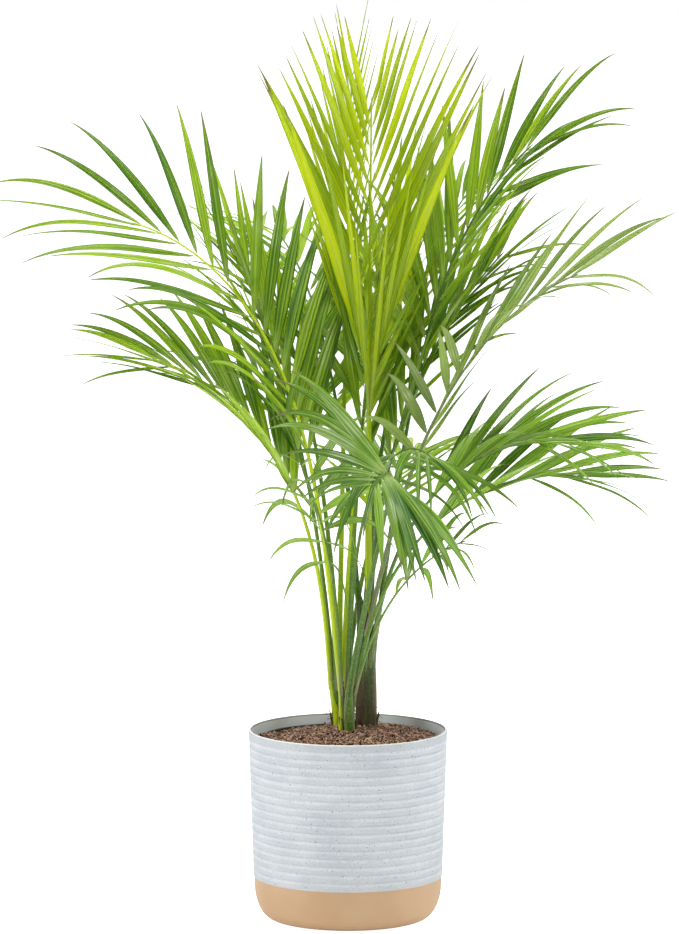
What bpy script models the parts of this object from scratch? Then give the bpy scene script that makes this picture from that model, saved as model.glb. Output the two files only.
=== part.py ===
"""Potted feather palm: three young palms growing together in a ribbed planter.

Metres, +Z up. The origin is the middle of the flat face that the planter
stands on, and the plant's widest spread lies along X.
"""

import math
import random

import bmesh
import bpy
from mathutils import Matrix, Vector
from mathutils.bvhtree import BVHTree

# ---------------------------------------------------------------- dimensions
PLANTER_HEIGHT = 0.243
RIM_RADIUS = 0.127            # outside, at the top
WALL_RADIUS = 0.1185          # outside, just above the rounded foot
BASE_RADIUS = 0.0955          # flat face that the planter stands on
WALL = 0.0045                 # planter wall
FLOOR = 0.006                 # planter floor
EDGE = 0.001                  # bevel on the rim's two edges
INNER_CORNER = 0.012          # radius where the inner wall meets the floor
RIB_TOP = 0.233               # top of the highest rib
RIB_BOTTOM = 0.060            # foot of the lowest rib
RIB_COUNT = 15
RIB_RELIEF = 0.0011
RIB_CREST = 0.55              # height of a rib's crest, as a share of the rib
TURNED_SIDES = 48

NURSERY_TOP = 0.231
NURSERY_RIM_RADIUS = 0.1155
NURSERY_FOOT_RADIUS = 0.090
NURSERY_WALL = 0.0018
NURSERY_LIP = 0.0015          # how far the rolled rim stands out
NURSERY_LIP_DEPTH = 0.009
NURSERY_SIDES = 32
DRAIN_RADIUS = 0.007
DRAIN_RING = 0.055
DRAIN_COUNT = 6

SOIL_EDGE = 0.2265            # height of the soil where it meets the pot
SOIL_CROWN = 0.2425           # height of the soil in the middle
SOIL_SIDES = 32

GAP = 0.0004                  # clearance between pieces that rest on each other

# Stems: place on the soil, height, radius at the foot and at the top.
STEMS = {
    "front": dict(place=(0.000, -0.002), height=0.042, foot=0.0115, top=0.0120),
    "rear_left": dict(place=(-0.012, 0.052), height=0.042, foot=0.0115, top=0.0120),
    "rear_right": dict(place=(0.026, 0.044), height=0.112, foot=0.0130, top=0.0125),
}
STEM_SIDES = 12
STEM_RINGS = 4

# Fronds
PETIOLE_RADIUS = 0.0032       # half thickness of a leaf stalk at its foot
RACHIS_TIP_RADIUS = 0.0011
PETIOLE_STEPS = 6
PETIOLE_LAST = 0.97           # last of those rings, as a share of the bare stalk
KEEL = 0.7                    # depth of the stalk's underside to its half thickness
FIRST_PAIR = 0.6              # place of the first pair of leaflets, in spaces between pairs
LAST_PAIR = 0.985             # place of the last pair, as a share of the leafy part
BLADE_END = 0.45              # how much narrower the last leaflets are than the first
LEAFLET_THICKNESS = 0.0008
LEAFLET_STEPS = 12
SECTIONS = (4, 8)             # steps at which a leaflet has a cross-section
NECK = 0.12                   # half width of a leaflet's neck, as a share of its width
SOCKET = 0.007                # length of rachis that a leaflet grows from
LEAFLET_GAP = 0.0006          # clearance kept round every leaflet
SPINE_STEPS = 96
LOWEST_LEAFLET = 0.262        # no leaflet hangs lower than this, just above the rim
FIRST_SEED = 100


def frond(name, stem, seat, azimuth, lean, length, petiole, leaflet, **more):
    """One frond's design: angles in degrees, lengths in metres.

    seat is its place round the stem's top, azimuth the way that it leans,
    lean its tilt from upright at foot and tip, leaflet its longest leaflet. The pairs
    forward, lift and roll also run from foot to tip: how far leaflets point away from
    the rachis, how far they rise out of the frond's plane, and how far that plane turns.
    """
    design = dict(
        name=name, stem=stem, seat=seat, azimuth=azimuth, lean=lean, length=length,
        petiole=petiole, leaflet=leaflet, drift=0, bend=2.0, pairs=12, width=0.0155,
        forward=(50, 20), lift=(20, 5), roll=(0, 0), droop=0.35, pitch=(24, 24), taper=0.6,
        fan=1.0, wild=6)
    design.update(more)
    return design


FRONDS = (
    # The young palm at the back on the right: a short trunk and the tallest leaves.
    frond("frond_crown", "rear_right", None, 275, (1, 7), 0.70, 0.27, 0.36, bend=1.5,
          pairs=17, width=0.018, forward=(14, 22, 25, 23, 18, 12),
          lift=(-75, -35, -5, 5, 8, 8), droop=0.22, taper=0.33, pitch=(45, 40, 35, 30), wild=1),
    frond("frond_right_high", "rear_right", 10, 2, (8, 50), 0.68, 0.35, 0.20, bend=3.3,
          pairs=13, width=0.018, forward=(42, 34, 25, 10), roll=(30, 62), taper=0.8,
          droop=0.45),
    frond("frond_right_mid", "rear_right", 70, 16, (0, 46), 0.54, 0.22, 0.21, bend=1.3,
          pairs=13, width=0.016, forward=(32, 20), roll=(10, 25)),
    frond("frond_right_grey", "rear_right", -110, -38, (15, 70), 0.62, 0.24, 0.18, bend=1.8,
          pairs=12, forward=(55, 14), roll=(0, 50), taper=1.0),
    frond("frond_right_arch", "rear_right", -50, -25, (12, 100), 0.43, 0.20, 0.20, bend=1.5,
          pairs=11, forward=(34, 22), roll=(10, 20)),
    frond("frond_back_right", "rear_right", 130, 60, (8, 60), 0.64, 0.30, 0.22, bend=1.8),
    frond("frond_back", "rear_right", 190, 112, (12, 75), 0.62, 0.30, 0.22, bend=2.2),
    # The young palm at the back on the left.
    frond("frond_crown_rear", "rear_left", None, 80, (6, 8), 0.80, 0.46, 0.17, bend=1.0,
          pairs=16, width=0.009, forward=(20, 12), lift=(10, 10), droop=0.05, pitch=(34, 34),
          wild=1),
    frond("frond_crown_young", "rear_left", 310, 70, (5, 15), 0.64, 0.34, 0.20, bend=1.2,
          drift=-55, pairs=14, width=0.013, forward=(16, 20, 16, 10), lift=(-60, -30, 0, 6),
          droop=0.1, pitch=(34, 34), wild=1),
    frond("frond_left_mid", "rear_left", 190, 186, (4, 76), 0.53, 0.25, 0.20, bend=1.9,
          pairs=13, forward=(42, 34, 25, 10), lift=(14, 4), roll=(-15, -50), taper=0.65,
          pitch=(40, 30), wild=3),
    frond("frond_left_back", "rear_left", 70, 118, (8, 58), 0.66, 0.32, 0.22, bend=1.8),
    frond("frond_left_upright", "rear_left", 130, 152, (5, 28), 0.60, 0.32, 0.22, bend=1.4,
          forward=(34, 14), lift=(14, 4), droop=0.15),
    frond("frond_back_low", "rear_left", 10, 70, (20, 98), 0.46, 0.24, 0.18, bend=1.6),
    # The young palm in front.
    frond("frond_left_high", "front", 150, 178, (6, 76), 0.705, 0.30, 0.26, bend=2.8,
          pairs=15, width=0.019, forward=(46, 46, 44, 38, 14), lift=(8, 4), roll=(-20, -58),
          taper=0.8, droop=0.45, wild=3),
    frond("frond_right_fan", "front", 30, -10, (9, 98), 0.46, 0.24, 0.20, bend=1.4,
          pairs=11, forward=(38, 24), roll=(10, 25)),
    frond("frond_right_low", "front", -30, -22, (14, 70), 0.27, 0.16, 0.11, bend=1.5,
          pairs=5, width=0.010, forward=(65, 35), roll=(20, 30), droop=0.8),
    frond("frond_front", "front", 270, 320, (14, 112), 0.49, 0.34, 0.20, bend=2.1,
          drift=-70, pairs=10, width=0.017, forward=(68, 40), roll=(-50, -50), lift=(5, -15),
          droop=0.6, pitch=(75, 75)),
    frond("frond_front_low", "front", None, 300, (4, 110), 0.45, 0.30, 0.17, bend=2.6,
          pairs=8, width=0.014, forward=(75, 50), lift=(-30, -40), droop=1.3, pitch=(65, 65)),
    frond("frond_left_low", "front", 210, 205, (2, 26), 0.32, 0.16, 0.14, bend=1.6,
          pairs=6, width=0.008, forward=(85, 60), lift=(0, -10), droop=1.5, wild=10),
    frond("frond_centre_low", "rear_left", 250, 215, (2, 40), 0.45, 0.20, 0.17, bend=1.6,
          pairs=11, width=0.013, forward=(60, 25), droop=1.0, wild=9),
    frond("frond_centre", "front", 90, 70, (4, 24), 0.58, 0.28, 0.21, bend=1.2,
          forward=(36, 14), lift=(12, 4), droop=0.15),
)


# ------------------------------------------------------------------- helpers
def clear_scene():
    """Start from an empty file."""
    for item in list(bpy.data.objects):
        bpy.data.objects.remove(item, do_unlink=True)


def make_material(name, colour, roughness, metallic=0.0):
    """A plain Principled finish."""
    material = bpy.data.materials.new(name)
    material.use_nodes = True
    shader = material.node_tree.nodes["Principled BSDF"]
    shader.inputs["Base Color"].default_value = (*colour, 1.0)
    shader.inputs["Roughness"].default_value = roughness
    shader.inputs["Metallic"].default_value = metallic
    return material


def finish_mesh(bm, name, material, smooth_angle=40):
    """Turn a bmesh into a named object with its own material."""
    bmesh.ops.recalc_face_normals(bm, faces=bm.faces)
    if bm.calc_volume(signed=True) < 0.0:
        bmesh.ops.reverse_faces(bm, faces=bm.faces)
    mesh = bpy.data.meshes.new(name)
    bm.to_mesh(mesh)
    bm.free()
    mesh.shade_smooth()
    mesh.set_sharp_from_angle(angle=math.radians(smooth_angle))
    mesh.materials.append(material)
    item = bpy.data.objects.new(name, mesh)
    bpy.context.scene.collection.objects.link(item)
    return item


def turned(profile, sides):
    """Spin an outline of (radius, height) points once round the Z axis."""
    bm = bmesh.new()
    points = [bm.verts.new((radius, 0.0, height)) for radius, height in profile]
    edges = [bm.edges.new(pair) for pair in zip(points, points[1:])]
    if profile[0][0] > 0.0:
        edges.append(bm.edges.new((points[-1], points[0])))
    bmesh.ops.spin(bm, geom=points + edges, axis=(0, 0, 1), cent=(0, 0, 0),
                   angle=math.tau, steps=sides, use_merge=True)
    bmesh.ops.remove_doubles(bm, verts=bm.verts, dist=1e-6)
    return bm


def arc(centre, radius, start, end, steps):
    """Points on an arc in the profile plane, angles in degrees."""
    angles = [math.radians(start + (end - start) * i / steps) for i in range(steps + 1)]
    return [(centre[0] + radius * math.cos(a), centre[1] + radius * math.sin(a))
            for a in angles]


def soil_height(radius):
    """Height of the domed soil at a distance from the pot's middle."""
    share = min(radius / soil_radius(SOIL_EDGE), 1.0)
    return SOIL_EDGE + (SOIL_CROWN - SOIL_EDGE) * math.cos(share * math.pi / 2)


# ------------------------------------------------------------------- planter
def wall_radius(height):
    """Outside radius of the planter's wall at a height."""
    foot = WALL_RADIUS - BASE_RADIUS
    share = (height - foot) / (PLANTER_HEIGHT - foot)
    return WALL_RADIUS + (RIM_RADIUS - WALL_RADIUS) * share


def make_planter():
    """Tapered cylinder with a rounded foot, horizontal ribs and a plain base band."""
    corner = WALL_RADIUS - BASE_RADIUS
    profile = [(0.0, 0.0)]
    profile += arc((BASE_RADIUS, corner), corner, -90, 0, 5)
    profile.append((wall_radius(RIB_BOTTOM), RIB_BOTTOM))
    pitch = (RIB_TOP - RIB_BOTTOM) / RIB_COUNT
    for rib in range(RIB_COUNT):
        foot = RIB_BOTTOM + rib * pitch
        crest = foot + pitch * RIB_CREST
        profile.append((wall_radius(crest) + RIB_RELIEF, crest))
        profile.append((wall_radius(foot + pitch), foot + pitch))
    profile.append((RIM_RADIUS, PLANTER_HEIGHT - EDGE))
    profile.append((RIM_RADIUS - EDGE, PLANTER_HEIGHT))
    profile.append((RIM_RADIUS - WALL + EDGE, PLANTER_HEIGHT))
    profile.append((RIM_RADIUS - WALL, PLANTER_HEIGHT - EDGE))
    centre = (WALL_RADIUS - WALL - INNER_CORNER, FLOOR + INNER_CORNER)
    profile += arc(centre, INNER_CORNER, 0, -90, 3)
    profile.append((0.0, FLOOR))
    glaze = make_material("speckled_glaze", (0.62, 0.66, 0.68), 0.55)
    return finish_mesh(turned(profile, TURNED_SIDES), "planter", glaze)


# --------------------------------------------------------------- nursery pot
def nursery_radius(height):
    """Outside radius of the nursery pot's wall at a height."""
    share = (height - FLOOR - GAP) / (NURSERY_TOP - FLOOR - GAP)
    return NURSERY_FOOT_RADIUS + (NURSERY_RIM_RADIUS - NURSERY_FOOT_RADIUS) * share


def soil_radius(height):
    """Radius of the soil inside the nursery pot at a height."""
    return nursery_radius(height) - NURSERY_WALL - GAP


def make_nursery_pot():
    """Thin black growing pot with a rolled lip and drain holes in its floor."""
    foot = FLOOR + GAP
    corner = 0.003
    floor = foot + NURSERY_WALL
    lip = NURSERY_TOP - NURSERY_LIP_DEPTH
    profile = [
        (0.0, foot),
        (NURSERY_FOOT_RADIUS - corner, foot),
        (NURSERY_FOOT_RADIUS, foot + corner),
        (nursery_radius(lip - EDGE), lip - EDGE),
        (NURSERY_RIM_RADIUS + NURSERY_LIP, lip),
        (NURSERY_RIM_RADIUS + NURSERY_LIP, NURSERY_TOP),
        (NURSERY_RIM_RADIUS - NURSERY_WALL, NURSERY_TOP),
        (nursery_radius(foot + corner + EDGE) - NURSERY_WALL, foot + corner + EDGE),
        (nursery_radius(floor) - NURSERY_WALL - corner, floor),
        (0.0, floor),
    ]
    plastic = make_material("black_plastic", (0.02, 0.02, 0.02), 0.5)
    pot = finish_mesh(turned(profile, NURSERY_SIDES), "nursery_pot", plastic)

    holes = bmesh.new()
    for index in range(DRAIN_COUNT):
        turn = Matrix.Rotation(math.tau * index / DRAIN_COUNT, 4, "Z")
        place = turn @ Matrix.Translation((DRAIN_RING, 0.0, foot))
        bmesh.ops.create_cone(holes, cap_ends=True, segments=10, radius1=DRAIN_RADIUS,
                              radius2=DRAIN_RADIUS, depth=0.01, matrix=place)
    cutter = finish_mesh(holes, "drain_cutter", plastic)
    cutter.hide_render = True
    cutter.display_type = "WIRE"
    cut = pot.modifiers.new("drain_holes", "BOOLEAN")
    cut.operation = "DIFFERENCE"
    cut.object = cutter
    return pot


# ---------------------------------------------------------------------- soil
def make_soil():
    """Root ball and potting mix, domed a little round the stems."""
    foot = FLOOR + NURSERY_WALL + 2 * GAP
    corner = 0.004
    profile = [(0.0, foot), (soil_radius(foot) - corner - EDGE, foot),
               (soil_radius(foot + corner), foot + corner),
               (soil_radius(SOIL_EDGE), SOIL_EDGE)]
    rings = 6
    for ring in range(1, rings):
        radius = soil_radius(SOIL_EDGE) * (1 - ring / rings)
        profile.append((radius, soil_height(radius)))
    profile.append((0.0, SOIL_CROWN))
    mix = make_material("potting_mix", (0.16, 0.10, 0.07), 0.95)
    return finish_mesh(turned(profile, SOIL_SIDES), "potting_soil", mix)


# --------------------------------------------------------------------- stems
def stem_foot(stem):
    """Where a stem leaves the soil: the highest soil under its foot."""
    x, y = stem["place"]
    nearest = max(0.0, math.hypot(x, y) - stem["foot"])
    return Vector((x, y, soil_height(nearest) + GAP))


def make_stem(name, stem):
    """Short stem of old leaf sheaths, narrowing upwards."""
    foot = stem_foot(stem)
    top = stem["height"]
    spread = stem["foot"] - stem["top"]
    profile = [(0.0, 0.0), (stem["foot"], 0.0)]
    for ring in range(1, STEM_RINGS + 1):
        share = ring / STEM_RINGS
        profile.append((stem["foot"] - spread * share, top * share))
    profile.append((0.0, top))
    bm = turned(profile, STEM_SIDES)
    bmesh.ops.translate(bm, verts=bm.verts, vec=foot)
    bark = make_material("sheath_" + name, (0.16, 0.17, 0.06), 0.7)
    return finish_mesh(bm, "stem_" + name, bark)


# -------------------------------------------------------------------- fronds
class Spine:
    """Centre line of a frond's stalk and rachis, with a frame along it."""

    def __init__(self, design):
        stem = STEMS[design["stem"]]
        seat = math.radians(design["seat"] or 0)
        reach = 0.0 if design["seat"] is None else stem["top"] - PETIOLE_RADIUS
        # A leaning stalk's foot is tilted: it is lifted until its low corner clears the stem.
        dip = 1.3 * PETIOLE_RADIUS * math.sin(math.radians(abs(design["lean"][0])))
        top = stem_foot(stem) + Vector((0, 0, stem["height"] + GAP + dip))
        self.design = design
        self.points = [top + Vector((reach * math.cos(seat), reach * math.sin(seat), 0))]
        step = design["length"] / SPINE_STEPS
        for index in range(SPINE_STEPS):
            along = self.direction((index + 0.5) / SPINE_STEPS)
            self.points.append(self.points[-1] + along * step)

    def angles(self, share):
        """Azimuth and lean at a share of the length, in radians."""
        design = self.design
        first, last = design["lean"]
        azimuth = design["azimuth"] + design["drift"] * share
        lean = first + (last - first) * share ** design["bend"]
        return math.radians(azimuth), math.radians(lean)

    def direction(self, share):
        """Unit vector along the frond."""
        azimuth, lean = self.angles(share)
        return Vector((math.sin(lean) * math.cos(azimuth),
                       math.sin(lean) * math.sin(azimuth), math.cos(lean)))

    def point(self, share):
        """Place on the centre line."""
        position = min(share, 1.0) * SPINE_STEPS
        index = min(int(position), SPINE_STEPS - 1)
        return self.points[index].lerp(self.points[index + 1], position - index)

    def blade_share(self, share):
        """How far along the leafy part, from 0 to 1."""
        petiole = self.design["petiole"] / self.design["length"]
        return max(0.0, (share - petiole) / (1.0 - petiole))

    def frame(self, share):
        """Vectors along the frond, across it, and out of its upper side."""
        azimuth, lean = self.angles(share)
        along = self.direction(share)
        outward = Vector((math.cos(azimuth), math.sin(azimuth), 0))
        upper = Vector((0, 0, math.sin(lean))) - outward * math.cos(lean)
        first, last = self.design["roll"]
        roll = first + (last - first) * self.blade_share(share)
        upper = Matrix.Rotation(math.radians(roll), 3, along) @ upper
        return along, along.cross(upper), upper

    def radius(self, share):
        """Half thickness of the stalk."""
        return PETIOLE_RADIUS + (RACHIS_TIP_RADIUS - PETIOLE_RADIUS) * share ** 0.8


def leaflet_share(design, pair):
    """Where along the frond a pair of leaflets grows."""
    petiole = design["petiole"] / design["length"]
    return petiole + (1.0 - petiole) * (pair + FIRST_PAIR) / design["pairs"] * LAST_PAIR


def leaflet_length(design, position):
    """Leaflets are longest near the foot of the blade and shorten towards its tip."""
    if position < 0.2:
        return design["leaflet"] * (0.85 + 0.15 * math.sin(position / 0.2 * math.pi / 2))
    fall = (position - 0.2) / 0.8
    return design["leaflet"] * (1.0 - (1.0 - design["taper"]) * fall ** 1.4)


def leaflet_width(share):
    """Width along a leaflet, as a share of its widest: a long lance shape."""
    return min(1.0, 0.30 + 2.6 * share) * (1.0 - share ** 2.2) ** 0.8


def between(values, position):
    """Evenly spaced values, read at a position from 0 at the first to 1 at the last."""
    place = position * (len(values) - 1)
    index = min(int(place), len(values) - 2)
    return values[index] + (values[index + 1] - values[index]) * (place - index)


def leaflet_line(spine, pair, side, chance, swing):
    """Centre points, directions and width vectors along one leaflet."""
    design = spine.design
    position = pair / (design["pairs"] - 1)
    share = leaflet_share(design, pair)
    along, across, upper = spine.frame(share)
    turn, rise, trim = swing
    forward = between(design["forward"], position ** design["fan"])
    lift = between(design["lift"], position)
    forward = math.radians(forward + chance[0] * design["wild"] + turn)
    lift = math.radians(lift + chance[1] * 1.5 * design["wild"] + rise)
    outward = across * (side * math.cos(lift)) + upper * math.sin(lift)
    heading = along * math.cos(forward) + outward * math.sin(forward)
    pitch = math.radians(between(design["pitch"], position) + chance[2] * 8)
    flat = (along - heading * along.dot(heading)).normalized()
    width = Matrix.Rotation(-side * pitch, 3, heading) @ flat
    length = leaflet_length(design, position) * (1 + 0.09 * chance[3]) * trim
    droop = design["droop"] * (1 + 0.6 * chance[4])
    point = spine.point(share) + outward * spine.radius(share)
    step = length / LEAFLET_STEPS
    rows = []
    for index in range(LEAFLET_STEPS + 1):
        rows.append((point.copy(), width.copy(), heading.cross(width) * side))
        level = math.hypot(heading.x, heading.y)
        fall = droop * level * ((index + 1) / LEAFLET_STEPS) ** 1.3 / LEAFLET_STEPS * 3
        heading = (heading + Vector((0, 0, -fall))).normalized()
        width = (width - heading * width.dot(heading)).normalized()
        point = point + heading * step
    return rows


def section(row, half_width, half_thickness):
    """Corners of a leaflet's cross-section: rear upper, front upper, front lower, rear lower."""
    point, across, upper = row
    half = across * half_width
    thick = upper * half_thickness
    return [point - half + thick, point + half + thick,
            point + half - thick, point - half - thick]


def leaflet_sections(rows, width, grow=0.0):
    """The leaflet's cross-sections between its foot and its tip, made larger by grow."""
    sections = []
    for index in SECTIONS:
        half = width / 2 * leaflet_width(index / LEAFLET_STEPS)
        sections.append(section(rows[index], half + grow, LEAFLET_THICKNESS / 2 + grow))
    return sections


def tube_tree(rings):
    """Search tree of a closed tube through rings of corners, and the corners."""
    sides = len(rings[0])
    verts = [corner for ring in rings for corner in ring]
    faces = [tuple(range(sides)), tuple(range(len(verts) - sides, len(verts)))]
    for low in range(0, len(verts) - sides, sides):
        for corner in range(sides):
            following = (corner + 1) % sides
            faces.append((low + corner, low + following, low + sides + following))
            faces.append((low + corner, low + sides + following, low + sides + corner))
            faces.append((low + corner, low + following, low + sides + corner))
            faces.append((low + following, low + sides + following, low + sides + corner))
    return BVHTree.FromPolygons(verts, faces), verts


def clearance_trees(rows, width):
    """Search trees of a leaflet with its clearance: all of it, and without its foot."""
    grow = LEAFLET_GAP
    foot = section(rows[0], SOCKET / 2 + grow, PETIOLE_RADIUS / 2 + grow)
    neck = section(rows[1], width * NECK + grow, LEAFLET_THICKNESS / 2 + 2 * grow)
    rest = leaflet_sections(rows, width, grow) + [section(rows[-1], grow, grow)]
    return tube_tree([foot] + rest), tube_tree([neck] + rest)


def stalk_rings(spine):
    """Cross-sections of the stalk and rachis, with the rings that carry leaflets."""
    design = spine.design
    petiole = design["petiole"] / design["length"]
    shares = [petiole * step / PETIOLE_STEPS * PETIOLE_LAST
              for step in range(PETIOLE_STEPS + 1)]
    carriers = {}
    half = SOCKET / 2 / design["length"]
    for pair in range(design["pairs"]):
        middle = leaflet_share(design, pair)
        shares.append(middle - half)
        carriers[len(shares) - 1] = pair
        shares.append(middle + half)
    shares.append(1.0)
    rings = []
    for share in shares:
        along, across, upper = spine.frame(share)
        radius = spine.radius(share)
        centre = spine.point(share)
        keel = centre - upper * radius * KEEL
        rings.append([centre + upper * radius, keel - across * radius, keel + across * radius])
    return rings, carriers


def stalk_tree(spine):
    """Search tree of a stalk with its clearance."""
    rings = []
    for ring in stalk_rings(spine)[0]:
        centre = sum(ring, Vector()) / len(ring)
        rings.append([corner + (corner - centre).normalized() * LEAFLET_GAP for corner in ring])
    return tube_tree(rings)


def box_of(verts):
    """Lowest and highest corner of a set of points."""
    return ([min(v[i] for v in verts) for i in range(3)],
            [max(v[i] for v in verts) for i in range(3)])


def boxes_meet(first, second):
    """True where two boxes share space."""
    return all(first[0][i] <= second[1][i] and second[0][i] <= first[1][i] for i in range(3))


# Ways a blocked leaflet is moved aside: turn and rise in degrees, length share.
SWINGS = [(0, 0, 1.0)]
SWINGS += [(turn, rise, 1.0) for rise in (0, 10, -10, 20, -20) for turn in (0, 7, -7, 14, -14)
           if (turn, rise) != (0, 0)]
SWINGS += [(turn, rise, trim) for trim in (0.85, 0.7, 0.5) for rise in (0, 12, -12)
           for turn in (0, 8, -8)]


def meets(tree_and_box, others):
    """True where a search tree touches any of the others."""
    tree, box = tree_and_box
    return any(boxes_meet(box, other[1]) and tree.overlap(other[0]) for other in others)


def with_box(tree, verts):
    """A search tree paired with the box round its corners."""
    return tree, box_of(verts)


def lay_out():
    """Place every leaflet of every frond clear of the others: spines with their leaflets."""
    spines = [Spine(design) for design in FRONDS]
    stalks = [with_box(*stalk_tree(spine)) for spine in spines]
    placed = []
    plants = []
    for number, spine in enumerate(spines):
        design = spine.design
        luck = random.Random(FIRST_SEED + number)
        own = [stalks[number]]
        others = stalks[:number] + stalks[number + 1:] + placed
        leaflets = {}
        for pair in range(design["pairs"]):
            narrowing = 1.0 - BLADE_END * (pair / (design["pairs"] - 1)) ** 2
            for side in (-1, 1):
                chance = [luck.uniform(-1, 1) for _ in range(5)]
                width = design["width"] * narrowing * (1 + 0.1 * luck.uniform(-1, 1))
                for swing in SWINGS:
                    rows = leaflet_line(spine, pair, side, chance, swing)
                    whole, free = [with_box(*found) for found in clearance_trees(rows, width)]
                    blocked = meets(free, own) or meets(whole, others)
                    if not blocked and whole[1][0][2] > LOWEST_LEAFLET:
                        own.append(free)
                        placed.append(whole)
                        leaflets[pair, side] = (rows, width)
                        break
        plants.append((spine, leaflets))
    return plants


def draw_out(bm, face, corners):
    """Extrude a face to new corners, given in the order of the face's own."""
    face = bmesh.ops.extrude_discrete_faces(bm, faces=[face])["faces"][0]
    for vertex, corner in zip(face.verts, corners):
        vertex.co = corner
    return face


def make_frond(spine, leaflets):
    """One leaf: stalk and rachis drawn out ring by ring, leaflets out of its sides."""
    rings, carriers = stalk_rings(spine)
    bm = bmesh.new()
    face = bm.faces.new([bm.verts.new(corner) for corner in rings[0]])
    foot = face.copy(verts=False, edges=False)
    foot.normal_flip()
    sockets = {}
    for index, corners in enumerate(rings[1:]):
        rear = list(face.verts)
        face = draw_out(bm, face, corners)
        front = list(face.verts)
        if index in carriers:
            for side, lower in ((-1, 1), (1, 2)):
                sockets[carriers[index], side] = (rear[0], front[0], front[lower], rear[lower])
    for key, (rows, width) in leaflets.items():
        socket = sockets[key]
        face = next(f for f in socket[0].link_faces if set(f.verts) == set(socket))
        order = [socket.index(vertex) for vertex in face.verts]
        for corners in leaflet_sections(rows, width):
            face = draw_out(bm, face, [corners[index] for index in order])
        face = draw_out(bm, face, [rows[-1][0]] * len(order))
        bmesh.ops.remove_doubles(bm, verts=face.verts, dist=1e-6)
    green = make_material(spine.design["name"], (0.10, 0.22, 0.02), 0.45)
    return finish_mesh(bm, spine.design["name"], green, 30)


def main():
    clear_scene()
    make_planter()
    make_nursery_pot()
    make_soil()
    for name, stem in STEMS.items():
        make_stem(name, stem)
    for spine, leaflets in lay_out():
        make_frond(spine, leaflets)


main()
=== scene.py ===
"""Potted feather palm: the finished look of three young palms in a ribbed planter.

Metres, +Z up. Each frond is laid out leaflet by leaflet from the same designs as
the solid model, so every blade lies on the solid that it replaces.
"""

import math
import random

import bmesh
import bpy
from bpy.props import FloatProperty, FloatVectorProperty, IntProperty, PointerProperty
from mathutils import Matrix, Vector, noise
from mathutils.bvhtree import BVHTree


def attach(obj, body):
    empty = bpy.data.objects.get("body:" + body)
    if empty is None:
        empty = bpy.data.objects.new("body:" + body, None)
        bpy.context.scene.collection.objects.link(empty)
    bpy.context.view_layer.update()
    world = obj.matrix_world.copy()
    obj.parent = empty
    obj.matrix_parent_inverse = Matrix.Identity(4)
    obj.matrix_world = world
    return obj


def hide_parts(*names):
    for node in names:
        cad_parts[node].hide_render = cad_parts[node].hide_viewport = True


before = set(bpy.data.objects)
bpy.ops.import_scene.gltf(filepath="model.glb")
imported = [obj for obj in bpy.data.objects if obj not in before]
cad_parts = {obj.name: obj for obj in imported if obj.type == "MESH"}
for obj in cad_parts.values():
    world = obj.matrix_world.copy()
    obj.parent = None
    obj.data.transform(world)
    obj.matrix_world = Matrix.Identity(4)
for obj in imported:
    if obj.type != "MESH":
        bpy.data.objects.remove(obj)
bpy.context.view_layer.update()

bl_info = {
    "name": "Potted feather palm",
    "version": (1, 0, 0),
    "blender": (4, 5, 0),
    "location": "View3D > Sidebar > Palm",
    "description": "Builds the finished pieces of a potted feather palm",
    "category": "Object",
}

# ------------------------------------------------------------ solid model's sizes
PLANTER_HEIGHT = 0.243
RIM_RADIUS = 0.127            # outside, at the top
BASE_RADIUS = 0.0955          # flat face that the planter stands on
WALL = 0.0045                 # planter wall
FLOOR = 0.006                 # planter floor
EDGE = 0.001                  # bevel on the rim's two edges

NURSERY_TOP = 0.231
NURSERY_RIM_RADIUS = 0.1155
NURSERY_FOOT_RADIUS = 0.090
NURSERY_WALL = 0.0018
NURSERY_LIP = 0.0015          # how far the rolled rim stands out
NURSERY_LIP_DEPTH = 0.009
DRAIN_RADIUS = 0.007
DRAIN_RING = 0.055
DRAIN_COUNT = 6

SOIL_EDGE = 0.2265            # height of the soil where it meets the pot
SOIL_CROWN = 0.2425           # height of the soil in the middle

GAP = 0.0004                  # clearance between pieces that rest on each other

# Stems: place on the soil, height, radius at the foot and at the top.
STEMS = {
    "front": dict(place=(0.000, -0.002), height=0.042, foot=0.0115, top=0.0120),
    "rear_left": dict(place=(-0.012, 0.052), height=0.042, foot=0.0115, top=0.0120),
    "rear_right": dict(place=(0.026, 0.044), height=0.112, foot=0.0130, top=0.0125),
}

# Fronds
PETIOLE_RADIUS = 0.0032       # half thickness of a leaf stalk at its foot
RACHIS_TIP_RADIUS = 0.0011
PETIOLE_STEPS = 6
PETIOLE_LAST = 0.97           # last of those rings, as a share of the bare stalk
KEEL = 0.7                    # depth of the stalk's underside to its half thickness
FIRST_PAIR = 0.6              # place of the first pair of leaflets, in spaces between pairs
LAST_PAIR = 0.985             # place of the last pair, as a share of the leafy part
BLADE_END = 0.45              # how much narrower the last leaflets are than the first
LEAFLET_THICKNESS = 0.0008
LEAFLET_STEPS = 12
SECTIONS = (4, 8)             # steps at which a leaflet has a cross-section
NECK = 0.12                   # half width of a leaflet's neck, as a share of its width
SOCKET = 0.007                # length of rachis that a leaflet grows from
LEAFLET_GAP = 0.0006          # clearance kept round every leaflet
SPINE_STEPS = 96
LOWEST_LEAFLET = 0.262        # no leaflet hangs lower than this, just above the rim
FIRST_SEED = 100


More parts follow.
